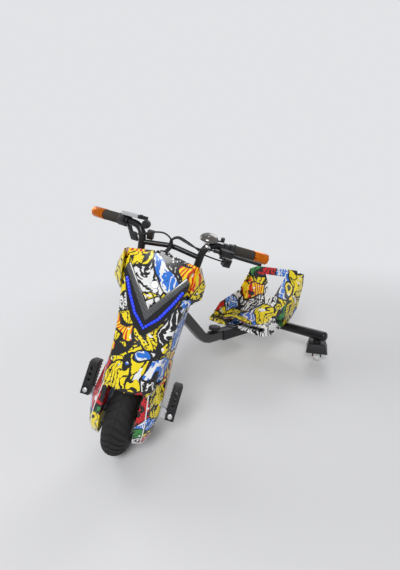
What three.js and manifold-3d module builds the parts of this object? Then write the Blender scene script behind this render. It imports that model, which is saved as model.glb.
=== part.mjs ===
// A child's drift trike: a steered front wheel with its fairing, handlebar and folding foot pegs, a bent
// main tube, a telescopic rear sleeve with a bucket seat, and a rear crossbar on two swivelling casters.
// Millimetres, +Z up. The front wheel is at the -Y end and the rider's left hand is at +X.
// The front group stands turned to the left about its raked axis, as the trike is shown.
import * as THREE from 'three';
import { mergeVertices } from 'three/addons/utils/BufferGeometryUtils.js';
import { ConvexGeometry } from 'three/addons/geometries/ConvexGeometry.js';
import Module from 'manifold-3d';

const wasm = await Module();
wasm.setup();

// Fits and fineness
const seam = 0.3;
const slantSeam = 0.6;
const runningGap = 0.4;
const overrun = 5;
const weld = 0.001;
const roundSides = 18;
const fineSides = 28;
const wheelSides = 40;
const pipeSides = 12;
const cableSides = 8;

// Front wheel
const tyreRadius = 130;
const tyreWidth = 84;
const tyreBead = 5;
const rimRadius = 76;
const rimHalfWidth = 33;
const beadHalfWidth = 34;
const hubCoverRadius = 60;
const hubCoverHalfWidth = 38;
const hubNoseRadius = 22;
const hubNoseHalfWidth = 46;
const axleRadius = 8;
const axleCollarRadius = 13;
const axleNutRadius = 13;
const axleNutHeight = 8;
const axleTail = 3;

// Steering
const rakeAngle = THREE.MathUtils.degToRad(30.5);
const steerAngle = THREE.MathUtils.degToRad(41.5);
const legInnerHalf = 56;
const legThickness = 12;
const legBreadth = 30;
const legFoot = 12;
const legTop = 325;
const crownThickness = 16;
const crownBreadth = 46;
const steererRadius = 15;
const headTubeRadius = 23;
const headTubeDrop = 47.5;
const topClampThickness = 12;
const topClampFront = 92;
const topClampBack = 26;
const topClampMargin = 14;
const topClampShoulder = 55;
const topClampTailHalf = 34;
const steererNutRadius = 22;
const steererNutHeight = 11;

// Handlebar, measured from the front wheel's axle with the wheel straight
const barRadius = 11.1;
const riserInset = 25;
const riserFootY = 172;
const riserHeight = 109;
const riserSpare = 20;
const elbowInset = 16;
const elbowY = 190.4;
const elbowRise = 6;
const elbowBend = 45;
const barReach = 192;
const barEndY = 276;
const barFall = 25;
const braceDrop = 48;
const braceY = 181;
const braceRadius = 8;
const braceRise = 12;
const braceBend = 22;
const gripRadius = 16.5;
const gripLength = 72;
const gripFlangeRadius = 19;
const gripFlangeLength = 5;
const endRingRadius = 17.5;
const endRingLength = 45;
const endRingCrown = 7;
const endRingCup = 9;
const endRingNotches = 8;
const endRingNotchRadius = 5;

// Throttle side of the bar
const throttleLength = 24;
const throttleRadius = 19;
const nozzleRadius = 4;
const nozzleLength = 12;
const nozzleDrop = 6;
const nozzleFront = 19;
const paddleHubRadius = 15;
const paddleHubLength = 11.5;
const paddleArmLength = 42;
const paddleArmThickness = 6;
const paddlePadStart = 36;
const paddlePadLength = 30;
const paddlePadWidth = 28;
const paddlePadThickness = 8;
const paddleLean = THREE.MathUtils.degToRad(22);
const displayLift = 16;
const displayThickness = 11;
const displayDepth = 40;
const displayInboard = 6;
const displayOverlap = 10;
const displayTurn = THREE.MathUtils.degToRad(-12);
const buttonRadius = 5;
const buttonDepth = 4;
const buttonProud = 2;
const buttonTravel = 1.5;
const discRadius = 12.5;
const discThickness = 12;
const discInboard = 10;
const discY = 180;
const discRise = 9;
const discArmRadius = 4;
const clipThickness = 6;
const clipWidth = 10;
const wireClampWidth = 18;
const wireClampHeight = 26;
const wireClampInboard = 25;
const wireClampDrop = 22;

// Brake side of the bar
const brakeRingLength = 14;
const brakeRingRadius = 17;
const perchLength = 42;
const perchHeight = 20;
const perchBack = 15.5;
const perchFront = 38;
const perchDrop = 7;
const perchOverlap = 6;
const adjusterRadius = 5;
const adjusterDrop = 12;
const adjusterLength = 16;
const leverPivotAlong = 10;
const leverPivotFront = 30;
const leverBossRadius = 7;
const leverPinRadius = 3;
const leverThickness = 9;
const leverLength = 120;
const leverSweep = 14;
const leverHalfWidth = 4.5;
const leverTipRadius = 8;
const leverKneeShare = 0.33;
const leverKneeSweepShare = 0.65;
const bellRingRadius = 15.5;
const bellRingLength = 10;
const bellPostRadius = 6;
const bellPlateStart = 24;
const bellPlateRadius = 17;
const bellPlateThickness = 3;
const bellSpindleRadius = 3;
const bellDomeStart = 27.5;
const bellRadius = 28;
const bellHeight = 15;
const bellWall = 2;
const bellTiltShares = [0.93, 0.12, -0.2];
const strikerPivot = 13;
const strikerPinRadius = 2;
const strikerThickness = 2.6;
const strikerWidth = 7;
const strikerReach = 43;
const strikerKnobRadius = 6;
const strikerKnobHeight = 12;
const switchRingStart = 60;
const switchRingLength = 12;
const switchRingRadius = 14.5;
const switchStalkRadius = 4;
const switchDrop = 30;
const switchArmThickness = 6;
const switchBoxOutboard = 24;
const switchBoxWidth = 24;
const switchBoxHeight = 26;

// Fairing, measured from the front wheel's axle with the wheel straight
const shellBottomZ = 156;
const shellHeight = 389;
const shellBackY = 200;
const shellDepth = 275;
const shellHalfWidth = 112;
const shellWall = 3;
const shellSetBack = 28;
const dashRise = 32.9;
const dashCornerDrop = 18;
const riserHoleGap = 1.5;
const cableHoleX = -8;
const cableHoleY = 150;
const plateDepth = 32;
const trimProud = 2;
const headlightProud = 3;
const headlightRadius = 10.5;
const stripWidth = 9;
const vMargin = 19;
const backCoverThickness = 4;
const backCoverInset = 16;
const backCoverDrop = 50.5;
const wingOverlap = 12;
const wingWidth = 34;
const wingDepth = 62;
const wingDrop = 155;
const wingHeight = 118;
const legCoverInnerHalf = 52;
const legCoverWidth = 54;
const legCoverBottomZ = -18;
const legCoverFrontY = -97;
const legCoverDepth = 213;
const legCoverWall = 4;
const legCoverBackWall = 6;
const batteryInset = 37;
const batteryDepth = 76;
const batteryDrop = 50;
const batteryStart = 215;

// Foot pegs, measured along and across the fork
const pegHalf = 139;
const pegAlong = 36.5;
const pegForward = 20;
const pegLength = 110;
const pegRoot = 14;
const pegThickness = 28;
const pegBreadth = 36;
const pegSlotWidth = 16;
const pegSlotDepth = 32;
const pegTipNarrowing = 5;
const pegHoleRadii = [4, 5, 6];
const pegFirstHole = 32;
const pegHoleSpacing = 18;
const pegTeeth = 9;
const pegToothDepth = 3;
const pegPinRadius = 5;
const pegHeadRadius = 8;
const pegHeadHeight = 4;
const pegPlateStart = 102;
const pegPlateThickness = 5;
const pegPlateHeight = 46;
const pegPlateBreadth = 34;
const pegStubRadius = 8;
const pegStubBack = 9;
const pegLugRadius = 12;
const pegLugHalfHeight = 16;

// Main tube and rear sleeve, measured along the steering axis and from the tube's bend
const tubeWidth = 34;
const tubeHeight = 36;
const tubeChamfer = 4;
const bendY = 367;
const bendAbove = 97;
const bendTangent = 27;
const tubeFall = THREE.MathUtils.degToRad(11.6);
const tubeRun = 289;
const tubeSteps = 24;
const sleeveStart = 98;
const sleeveWall = 2.7;
const sleevePlug = 10;
const tongueStart = 34;
const tongueThickness = 2.7;
const tongueWidth = 32;
const knobAlong = 59;
const knobRadius = 25;
const knobLobes = 6;
const knobLobeDepth = 4;
const knobHeight = 15;
const knobNeckRadius = 11;
const knobNeckHeight = 7;

// Seat
const seatFrontY = 552;
const seatBottomZ = 178;
const seatLength = 360;
const seatHeight = 210;
const seatHalfWidth = 150;
const seatWall = 5;
const seatWindowTopHalf = 57;
const seatWindowBottomHalf = 13;
const seatWindowTopShare = 0.819;
const seatWindowBottomShare = 0.329;
const seatCornerStartHalf = 105;
const seatCornerDrop = 17;
const tunnelGap = 3;
const bracketFront = 160;
const bracketThickness = 3;
const bracketHalfWidth = 18;

// Rear crossbar and casters
const crossbarY = 810;
const crossbarRadius = 21;
const crossbarHalf = 305;
const crossbarEdge = 8;
const casterHalf = 262;
const casterTurn = THREE.MathUtils.degToRad(22.7);
const casterRadius = 32;
const casterWidth = 26;
const casterEdge = 5;
const casterTrail = 16;
const casterPinRadius = 4;
const prongGap = 1.5;
const prongThickness = 5;
const prongHalfBreadth = 11;
const prongFoot = 14;
const bridgeGap = 3;
const bridgeThickness = 7;
const bossRadius = 16;
const bossGap = 1;
const stemRadius = 6;
const stemRise = 4;
const coverTopZ = 99;
const coverHeight = 38;
const coverTopHalf = 33.5;
const coverBottomHalf = 44;
const coverWall = 3;

// Cables
const cableRadius = 2.5;
const cableStep = 7;
const cableLead = 8;
const bundleRadius = 6;
const bundleTopY = 168;
const bundleTopDrop = 19;
const bundleLength = 64;
const bundleSpread = 3.2;
const cableEndGap = 0.8;
const tieThickness = 2;
const tieWidth = 5;
const tieDrop = 8;

// Places worked out from the sizes above
const rakeSlope = Math.tan(rakeAngle);
const rakeCosine = Math.cos(rakeAngle);
const steerAxis = new THREE.Vector3(0, Math.sin(rakeAngle), rakeCosine);
const wheelLean = Math.sin(rakeAngle) * Math.sin(steerAngle);
const tyreRing = tyreRadius - tyreWidth / 2;
const axleHeight = tyreRing * Math.sqrt(1 - wheelLean * wheelLean) + tyreWidth / 2;
const legOuterHalf = legInnerHalf + legThickness;
const crownTop = legTop + seam + crownThickness;
const headTubeStart = crownTop + seam;
const shellTopZ = shellBottomZ + shellHeight;
const shellFrontY = shellBackY - shellDepth;
const dashRidge = shellTopZ * rakeCosine + dashRise;
const headTubeEnd = dashRidge - headTubeDrop;
const neckAlong = (headTubeStart + headTubeEnd) / 2;
const topClampStart = headTubeEnd + seam;
const topClampEnd = topClampStart + topClampThickness;
const steererTop = topClampEnd + seam + steererNutHeight;
const backCoverTop = dashRidge - backCoverDrop;
const backCoverHalfWidth = shellHalfWidth - backCoverInset;
const wingInnerHalf = shellHalfWidth - wingOverlap;
const elbowZ = shellTopZ + elbowRise;
const riserFootZ = elbowZ - riserHeight;
const riserFootHalf = shellHalfWidth - riserInset;
const topClampHalfWidth = riserFootHalf + topClampMargin;
const elbowHalf = shellHalfWidth - elbowInset;
const barEndHalf = elbowHalf + barReach;
const barEndZ = elbowZ - barFall;
const braceZ = elbowZ - braceDrop;
const discHalf = elbowHalf - discInboard;
const discZ = elbowZ + discRise;
const bundleTopZ = elbowZ - bundleTopDrop;
const bundleFootZ = bundleTopZ - bundleLength;
const wingBottomZ = shellTopZ - wingDrop;
const wingFrontShare = 0.5055;
const wingFrontY = shellFrontY + wingFrontShare * shellDepth;
const bendZ = axleHeight + bendAbove;
const sleeveHalfWidth = tubeWidth / 2 + seam + sleeveWall;
const sleeveHalfHeight = tubeHeight / 2 + seam + sleeveWall;
const crossbarAlong = (crossbarY - bendY) / Math.cos(tubeFall);
const crossbarZ = bendZ - crossbarAlong * Math.sin(tubeFall);
const tunnelHalf = sleeveHalfWidth + tunnelGap;
const tunnelTop = sleeveHalfHeight + seam + bracketThickness + seam;
const bossTop = crossbarZ - crossbarRadius - bossGap;
const bridgeZ = casterRadius * 2 + bridgeGap;

// Finishes
function paint(color, roughness, metalness) {
  return new THREE.MeshStandardMaterial({ color, roughness, metalness });
}
const tyreRubber = paint(0x17181a, 0.85, 0);
const blackPlastic = paint(0x141416, 0.55, 0);
const blackGloss = paint(0x1d1e22, 0.2, 0);
const blackSteel = paint(0x0d0d0f, 0.25, 0.6);
const greySteel = paint(0x3b3a3c, 0.35, 0.6);
const silverSteel = paint(0xa9abad, 0.35, 0.9);
const bellChrome = paint(0x8b8882, 0.15, 1);
const gripRubber = paint(0x46433f, 0.75, 0);
const orangeAluminium = paint(0xd8671a, 0.3, 0.9);
const pegAluminium = paint(0x1a1a1c, 0.4, 0.8);
const silverPlastic = paint(0xc4c5c4, 0.35, 0.2);
const trimGrey = paint(0x2c2d30, 0.25, 0.2);
const printYellow = paint(0xe8c81c, 0.3, 0);
const printRed = paint(0xc1272d, 0.3, 0);
const printBlue = paint(0x2f66b8, 0.3, 0);
const blueLight = paint(0x1f3cff, 0.3, 0);
const whiteLight = paint(0xf4f8ff, 0.2, 0);
const casterWhite = paint(0xd9d9d6, 0.45, 0);

// Closed geometries, and the solids that join and cut them
function welded(geometry) {
  const bare = geometry.clone();
  bare.deleteAttribute('normal');
  bare.deleteAttribute('uv');
  const merged = mergeVertices(bare, weld);
  const corners = merged.index.array;
  const kept = [];
  for (let face = 0; face < corners.length; face += 3) {
    const [a, b, c] = corners.slice(face, face + 3);
    if (a !== b && b !== c && c !== a) kept.push(a, b, c);
  }
  merged.setIndex(kept);
  return merged;
}
function toSolid(geometry) {
  const closed = welded(geometry);
  return new wasm.Manifold(new wasm.Mesh({
    numProp: 3,
    vertProperties: new Float32Array(closed.attributes.position.array),
    triVerts: new Uint32Array(closed.index.array),
  }));
}
function toGeometry(solid) {
  const mesh = solid.getMesh();
  const geometry = new THREE.BufferGeometry();
  geometry.setAttribute('position', new THREE.BufferAttribute(mesh.vertProperties, 3));
  geometry.setIndex(new THREE.BufferAttribute(mesh.triVerts, 1));
  return geometry;
}
function join(first, ...others) {
  return toGeometry(others.reduce((sum, other) => sum.add(toSolid(other)), toSolid(first)));
}
function cut(first, ...others) {
  return toGeometry(others.reduce((sum, other) => sum.subtract(toSolid(other)), toSolid(first)));
}
// The largest of the bodies that a cut leaves
function largest(geometry) {
  const bodies = toSolid(geometry).decompose();
  bodies.sort((one, two) => two.volume() - one.volume());
  return toGeometry(bodies[0]);
}
function mirrored(geometry) {
  const flipped = welded(geometry).scale(-1, 1, 1);
  const corners = Array.from(flipped.index.array);
  for (let face = 0; face < corners.length; face += 3) {
    [corners[face + 1], corners[face + 2]] = [corners[face + 2], corners[face + 1]];
  }
  flipped.setIndex(corners);
  return flipped;
}
// A piece that is built for the left side, on either side
function sided(side, geometry) {
  return side > 0 ? geometry : mirrored(geometry);
}

// Basic shapes
function vector(x, y, z) {
  return new THREE.Vector3(x, y, z);
}
// A box between two limits on each axis
function block([left, right], [front, back], [bottom, top]) {
  const geometry = new THREE.BoxGeometry(right - left, back - front, top - bottom);
  return geometry.translate((left + right) / 2, (front + back) / 2, (bottom + top) / 2);
}
// A cylinder along Z between two heights
function drum(radius, [bottom, top], sides = roundSides) {
  const geometry = new THREE.CylinderGeometry(radius, radius, top - bottom, sides);
  return geometry.rotateX(Math.PI / 2).translate(0, 0, (bottom + top) / 2);
}
// A round body about Z from a profile of radius and height that runs up its outer side
function turned(profile, sides = roundSides) {
  const points = profile.map(([radius, height]) => new THREE.Vector2(radius, height));
  return new THREE.LatheGeometry(points, sides).rotateX(Math.PI / 2);
}
function ring(outer, inner, [bottom, top], sides = roundSides) {
  return turned([[inner, bottom], [outer, bottom], [outer, top], [inner, top], [inner, bottom]], sides);
}
function outline(points) {
  return new THREE.Shape(points.map(([x, y]) => new THREE.Vector2(x, y)));
}
function slab(shape, thickness, segments = roundSides) {
  const settings = { depth: thickness, bevelEnabled: false, curveSegments: segments };
  return new THREE.ExtrudeGeometry(shape, settings);
}
// A slab from an outline in Y and Z, centred across X
function sideSlab(points, width) {
  const geometry = slab(outline(points), width).translate(0, 0, -width / 2);
  return geometry.rotateY(Math.PI / 2).rotateX(Math.PI / 2);
}
function pipe(path, radius, sides, steps) {
  const section = new THREE.Shape().absarc(0, 0, radius, 0, Math.PI * 2);
  const settings = { steps, curveSegments: sides / 2, bevelEnabled: false, extrudePath: path };
  return new THREE.ExtrudeGeometry(section, settings);
}
// A straight run, a rounded corner and a straight run
function cornerPath(start, corner, end, tangent) {
  const before = start.clone().sub(corner).setLength(tangent).add(corner);
  const after = end.clone().sub(corner).setLength(tangent).add(corner);
  const path = new THREE.CurvePath();
  path.add(new THREE.LineCurve3(start, before));
  path.add(new THREE.QuadraticBezierCurve3(before, corner, after));
  path.add(new THREE.LineCurve3(after, end));
  return path;
}
// A closed skin over rings of points that run anticlockwise seen from above, the lowest ring first
function loft(rings) {
  const count = rings[0].length;
  const positions = rings.flat().flatMap((point) => [point.x, point.y, point.z]);
  const faces = [];
  for (let level = 0; level + 1 < rings.length; level += 1) {
    for (let step = 0; step < count; step += 1) {
      const next = (step + 1) % count;
      const low = level * count;
      const high = low + count;
      faces.push(low + step, low + next, high + next);
      faces.push(low + step, high + next, high + step);
    }
  }
  const last = (rings.length - 1) * count;
  for (let step = 1; step + 1 < count; step += 1) {
    faces.push(0, step + 1, step);
    faces.push(last, last + step, last + step + 1);
  }
  const geometry = new THREE.BufferGeometry();
  geometry.setAttribute('position', new THREE.Float32BufferAttribute(positions, 3));
  geometry.setIndex(faces);
  return geometry;
}
// From the fork's frame, whose Z runs up the steering axis, to the straight wheel's frame
function leaned(geometry) {
  return geometry.rotateX(-rakeAngle);
}
function piece(group, name, geometry, material) {
  const closed = welded(geometry);
  closed.computeVertexNormals();
  const mesh = new THREE.Mesh(closed, material);
  mesh.name = name;
  group.add(mesh);
}
function frame(parent, name, position) {
  const group = new THREE.Group();
  group.name = name;
  group.position.copy(position);
  parent.add(group);
  return group;
}

// Front wheel: the tyre and the hub motor spin on a fixed axle along X
function tyre() {
  const section = tyreWidth / 2;
  const beadAngle = Math.acos((rimRadius + tyreBead - tyreRing) / section);
  const arcSteps = 12;
  const profile = [];
  for (let step = 0; step <= arcSteps; step += 1) {
    const angle = beadAngle * ((2 * step) / arcSteps - 1);
    profile.push([tyreRing + section * Math.cos(angle), section * Math.sin(angle)]);
  }
  profile.push([rimRadius, beadHalfWidth], [rimRadius, -beadHalfWidth], profile[0]);
  return turned(profile, wheelSides).rotateY(Math.PI / 2);
}
function hubMotor() {
  const outer = rimRadius - seam;
  const bore = axleRadius + runningGap;
  const upper = [[outer, rimHalfWidth], [hubCoverRadius, rimHalfWidth], [hubCoverRadius, hubCoverHalfWidth],
    [hubNoseRadius, hubCoverHalfWidth], [hubNoseRadius, hubNoseHalfWidth], [bore, hubNoseHalfWidth]];
  const lower = upper.map(([radius, height]) => [radius, -height]).reverse();
  return turned([...lower, ...upper, lower[0]], wheelSides).rotateY(Math.PI / 2);
}
function frontAxle() {
  const nutStart = legOuterHalf + seam;
  const half = nutStart + axleNutHeight + axleTail;
  const collar = drum(axleCollarRadius, [hubNoseHalfWidth + runningGap, legInnerHalf - seam]);
  const nut = drum(axleNutRadius, [nutStart, nutStart + axleNutHeight], 6);
  const oneEnd = join(collar, nut);
  const otherEnd = oneEnd.clone().rotateX(Math.PI);
  return join(drum(axleRadius, [-half, half]), oneEnd, otherEnd).rotateY(Math.PI / 2);
}

// Fork, built along the steering axis and then leaned back
function forkLeg() {
  const bar = block([legInnerHalf, legOuterHalf], [-legBreadth / 2, legBreadth / 2], [-legFoot, legTop]);
  const hole = drum(axleRadius + seam, [0, legOuterHalf + overrun]).rotateY(Math.PI / 2);
  return leaned(cut(bar, hole));
}
function forkCrown() {
  const across = [-legOuterHalf, legOuterHalf];
  const plate = block(across, [-crownBreadth / 2, crownBreadth / 2], [legTop + seam, crownTop]);
  const steerer = drum(steererRadius, [legTop + seam, steererTop]);
  const nut = drum(steererNutRadius, [topClampEnd + seam, steererTop], 6);
  return leaned(join(plate, steerer, nut));
}
function topClamp() {
  const leftHalf = [[topClampHalfWidth, -topClampFront], [topClampHalfWidth, -topClampShoulder],
    [topClampTailHalf, topClampBack]];
  const rightHalf = leftHalf.map(([x, y]) => [-x, y]).reverse();
  const plate = slab(outline([...leftHalf, ...rightHalf]), topClampThickness).translate(0, 0, topClampStart);
  const hole = drum(steererRadius + seam, [headTubeEnd, steererTop]);
  return leaned(cut(plate, hole));
}

// Handlebar: each half is a riser and a bar in one tube, with a brace between the risers
const riserFoot = vector(riserFootHalf, riserFootY, riserFootZ);
const elbow = vector(elbowHalf, elbowY, elbowZ);
const barEnd = vector(barEndHalf, barEndY, barEndZ);
const riserDirection = elbow.clone().sub(riserFoot).normalize();
const barDirection = barEnd.clone().sub(elbow).normalize();
const barLength = barEnd.distanceTo(elbow);
const barFront = vector(barDirection.y, -barDirection.x, 0).normalize();
const barUp = barFront.clone().cross(barDirection);
const elbowMiddle = elbow.clone().addScaledVector(barDirection, elbowBend / 4)
  .addScaledVector(riserDirection, -elbowBend / 4);
function handlebarTube(grow) {
  const foot = riserFoot.clone().addScaledVector(riserDirection, -riserSpare);
  return pipe(cornerPath(foot, elbow, barEnd, elbowBend), barRadius + grow, pipeSides, 20);
}
function handlebarHalf() {
  const across = [0, topClampHalfWidth + overrun];
  const clampTop = topClampEnd + seam;
  const below = block(across, [-topClampFront - barRadius, topClampBack], [headTubeStart, clampTop]);
  return cut(handlebarTube(0), leaned(below));
}
function handlebarBrace() {
  const left = vector(elbowHalf, braceY, braceZ);
  const right = vector(-elbowHalf, braceY, braceZ);
  const middle = vector(0, braceY + braceRise / 2, braceZ + braceRise);
  const whole = pipe(cornerPath(right, middle, left, braceBend), braceRadius, pipeSides, 14);
  const grown = handlebarTube(seam);
  return largest(cut(whole, grown, mirrored(grown)));
}
// Places a piece on the left bar: its X points up, its Y forward and its Z out along the bar
const barFrame = new THREE.Matrix4().makeBasis(barUp, barFront, barDirection).setPosition(elbow);
function onBar(geometry) {
  return geometry.applyMatrix4(barFrame);
}
const endRingStart = barLength - endRingLength;
const gripStart = endRingStart - seam - gripLength;
function grip() {
  const bore = barRadius + seam;
  const end = gripStart + gripLength;
  const flange = gripStart + gripFlangeLength;
  return onBar(turned([[bore, gripStart], [gripFlangeRadius, gripStart], [gripFlangeRadius, flange],
    [gripRadius, flange], [gripRadius, end], [bore, end], [bore, gripStart]]));
}
function barEndRing() {
  const tubeEnd = barLength + seam;
  const crownEnd = tubeEnd + endRingCrown;
  const body = drum(endRingRadius, [endRingStart, crownEnd], fineSides);
  const bore = drum(barRadius + seam, [endRingStart - overrun, tubeEnd]);
  const cup = drum(endRingCup, [crownEnd - endRingCrown / 2, crownEnd + overrun]);
  const notches = [];
  for (let notch = 0; notch < endRingNotches; notch += 1) {
    const angle = (notch / endRingNotches) * Math.PI * 2;
    const shape = drum(endRingNotchRadius, [crownEnd - endRingCrown / 2, crownEnd + overrun], 10);
    notches.push(shape.translate((endRingRadius + overrun / 2) * Math.cos(angle),
      (endRingRadius + overrun / 2) * Math.sin(angle), 0));
  }
  return onBar(cut(body, bore, cup, ...notches));
}

// Throttle side, built on the left bar and mirrored
const throttleEnd = gripStart - seam;
const throttleStart = throttleEnd - throttleLength;
const paddleStart = throttleStart - seam - paddleHubLength;
function throttleHousing() {
  const body = drum(throttleRadius, [throttleStart, throttleEnd]);
  const nozzle = drum(nozzleRadius, [throttleStart - nozzleLength, throttleStart + throttleLength / 2], 12);
  const bore = drum(barRadius + seam, [throttleStart - nozzleLength - overrun, throttleEnd + overrun]);
  return onBar(cut(join(body, nozzle.translate(-nozzleDrop, nozzleFront, 0)), bore));
}
function throttlePaddle() {
  const hubEnd = paddleStart + paddleHubLength;
  const hub = drum(paddleHubRadius, [paddleStart, hubEnd]);
  const armHalf = paddleArmThickness / 2;
  const arm = block([-paddleArmLength, 0], [-armHalf, armHalf], [paddleStart, hubEnd]);
  const padHalf = paddlePadThickness / 2;
  const padMiddle = paddleStart;
  const pad = block([-paddlePadStart - paddlePadLength, -paddlePadStart], [-padHalf, padHalf],
    [padMiddle - paddlePadWidth / 2, padMiddle + paddlePadWidth / 2]);
  const blade = join(arm, pad).rotateZ(paddleLean);
  const bore = drum(barRadius + runningGap, [paddleStart - overrun, hubEnd + overrun]);
  return onBar(cut(join(hub, blade), bore));
}
const displayTop = displayLift + displayThickness;
const displayButtonAlong = displayInboard + buttonRadius * 2;
function displayPack() {
  const half = displayDepth / 2;
  const end = throttleStart + displayOverlap;
  const body = block([displayLift, displayTop], [-half, half], [displayInboard, end]);
  const pocketStart = displayTop - buttonDepth;
  const pocket = drum(buttonRadius + runningGap, [pocketStart, displayTop + overrun]);
  pocket.rotateY(Math.PI / 2).translate(0, 0, displayButtonAlong);
  const housing = drum(throttleRadius + seam, [throttleStart - seam, throttleEnd]);
  return onBar(cut(cut(body, pocket).rotateZ(displayTurn), housing));
}
function displayButton() {
  const bottom = displayTop - buttonDepth + buttonTravel;
  const button = drum(buttonRadius, [bottom, displayTop + buttonProud], 16);
  return onBar(button.rotateY(Math.PI / 2).translate(0, 0, displayButtonAlong).rotateZ(displayTurn));
}
// Small fittings on the inner side of the riser, held by a clip to the tube
function riserFitting(body, height) {
  const riserX = elbowHalf - ((elbowZ - height) * (elbowHalf - riserFootHalf)) / (elbowZ - riserFootZ);
  const middle = [elbowY - clipWidth / 2, elbowY + clipWidth / 2];
  const clip = block([elbowHalf - wireClampInboard, riserX], middle,
    [height - clipThickness / 2, height + clipThickness / 2]);
  return largest(cut(join(body, clip), handlebarTube(seam)));
}
function hornDisc() {
  const middle = vector(discHalf, discY, discZ);
  const body = drum(discRadius, [-discThickness / 2, discThickness / 2]).rotateX(Math.PI / 2);
  const reach = elbowMiddle.clone().sub(middle);
  const arm = drum(discArmRadius, [0, reach.length()], 12);
  arm.applyQuaternion(new THREE.Quaternion().setFromUnitVectors(vector(0, 0, 1), reach.normalize()));
  return largest(cut(join(body, arm).translate(discHalf, discY, discZ), handlebarTube(seam)));
}
function wireClamp() {
  const height = elbowZ - wireClampDrop;
  const half = wireClampWidth / 2;
  const middle = elbowHalf - wireClampInboard;
  const body = block([middle - half, middle + half], [elbowY - half, elbowY + half],
    [height - wireClampHeight / 2, height + wireClampHeight / 2]);
  return riserFitting(body, height);
}

// Brake side
const brakeRingEnd = gripStart - seam;
const brakeRingStart = brakeRingEnd - brakeRingLength;
const perchEnd = brakeRingStart + perchOverlap;
const perchStart = perchEnd - perchLength;
const leverPivot = perchStart + leverPivotAlong;
function brakeClamp() {
  const clampRing = ring(brakeRingRadius, barRadius + seam, [brakeRingStart, brakeRingEnd]);
  const vertical = [-perchDrop - perchHeight / 2, -perchDrop + perchHeight / 2];
  const perch = block(vertical, [perchBack, perchFront], [perchStart, perchEnd]);
  const slotHalf = leverThickness / 2 + seam;
  const slotBack = leverPivotFront - leverBossRadius - seam;
  const slot = block([-perchDrop - slotHalf, -perchDrop + slotHalf], [slotBack, perchFront + overrun],
    [perchStart - overrun, perchEnd + overrun]);
  const adjusterStart = perchStart - adjusterLength;
  const slotted = cut(join(clampRing, perch), slot);
  const adjuster = drum(adjusterRadius, [adjusterStart, perchStart + seam], 12);
  const pin = drum(leverPinRadius, vertical, 12).rotateY(Math.PI / 2);
  return onBar(join(slotted, adjuster.translate(-adjusterDrop, perchBack + adjusterRadius / 2, 0),
    pin.translate(0, leverPivotFront, leverPivot)));
}
function brakeLever() {
  const kneeAlong = leverLength * leverKneeShare;
  const kneeFront = leverSweep * leverKneeSweepShare;
  const shape = new THREE.Shape();
  shape.absarc(0, 0, leverBossRadius, Math.PI / 2, (Math.PI * 3) / 2);
  shape.lineTo(kneeAlong, kneeFront - leverHalfWidth);
  shape.absarc(leverLength, leverSweep, leverTipRadius, -Math.PI / 2, Math.PI / 2);
  shape.lineTo(kneeAlong, kneeFront + leverHalfWidth);
  const blade = slab(shape, leverThickness, 8).rotateY(-Math.PI / 2);
  blade.translate(leverThickness / 2, 0, 0);
  const pivotHole = drum(leverPinRadius + runningGap, [-leverThickness, leverThickness], 12);
  const lever = cut(blade, pivotHole.rotateY(Math.PI / 2));
  return onBar(lever.translate(-perchDrop, leverPivotFront, leverPivot));
}
// The bell stands on the elbow: its X points out along the bar and its Z along the dome's axis
const elbowTangent = riserDirection.clone().add(barDirection).normalize();
const bellAxis = vector(0, 0, 0).addScaledVector(barUp, bellTiltShares[0])
  .addScaledVector(barFront, bellTiltShares[1]).addScaledVector(barDirection, bellTiltShares[2]).normalize();
const bellOut = barDirection.clone().addScaledVector(bellAxis, -bellAxis.dot(barDirection)).normalize();
const bellSide = bellAxis.clone().cross(bellOut);
const bellFrame = new THREE.Matrix4().makeBasis(bellOut, bellSide, bellAxis).setPosition(elbowMiddle);
const strikerTop = bellPlateStart - seam;
const strikerBottom = strikerTop - strikerThickness;
function bellBase() {
  const clampRing = drum(bellRingRadius, [-bellRingLength / 2, bellRingLength / 2]);
  clampRing.applyQuaternion(new THREE.Quaternion().setFromUnitVectors(vector(0, 0, 1), elbowTangent));
  clampRing.translate(elbowMiddle.x, elbowMiddle.y, elbowMiddle.z);
  const plateEnd = bellPlateStart + bellPlateThickness;
  const domeUnder = bellDomeStart + bellHeight - bellWall;
  const post = drum(bellPostRadius, [0, plateEnd], 16);
  const plate = drum(bellPlateRadius, [bellPlateStart, plateEnd]);
  const spindle = drum(bellSpindleRadius, [0, domeUnder - seam], 12);
  const pin = drum(strikerPinRadius, [strikerBottom, plateEnd], 10).translate(strikerPivot, 0, 0);
  const stand = join(post, plate, spindle, pin).applyMatrix4(bellFrame);
  return largest(cut(join(clampRing, stand), handlebarTube(seam)));
}
function bellDome() {
  const arcSteps = 6;
  const arc = (radius, height, step) => {
    const angle = (step / arcSteps) * (Math.PI / 2);
    return [radius * Math.cos(angle), bellDomeStart + height * Math.sin(angle)];
  };
  const profile = [];
  for (let step = arcSteps; step >= 0; step -= 1) {
    profile.push(arc(bellRadius - bellWall, bellHeight - bellWall, step));
  }
  for (let step = 0; step <= arcSteps; step += 1) profile.push(arc(bellRadius, bellHeight, step));
  profile[0][0] = 0;
  profile[profile.length - 1][0] = 0;
  return turned(profile).applyMatrix4(bellFrame);
}
function bellStriker() {
  const half = strikerWidth / 2;
  const arm = block([strikerPivot - half, strikerReach], [-half, half], [strikerBottom, strikerTop]);
  const knob = drum(strikerKnobRadius, [strikerBottom, strikerBottom + strikerKnobHeight], 16);
  const hole = drum(strikerPinRadius + runningGap, [0, bellDomeStart], 12).translate(strikerPivot, 0, 0);
  return cut(join(arm, knob.translate(strikerReach, 0, 0)), hole).applyMatrix4(bellFrame);
}
const switchStalkAlong = switchRingStart + switchRingLength / 2;
const switchBoxAlong = switchStalkAlong + switchBoxOutboard;
const switchBoxTop = -switchDrop;
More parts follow.
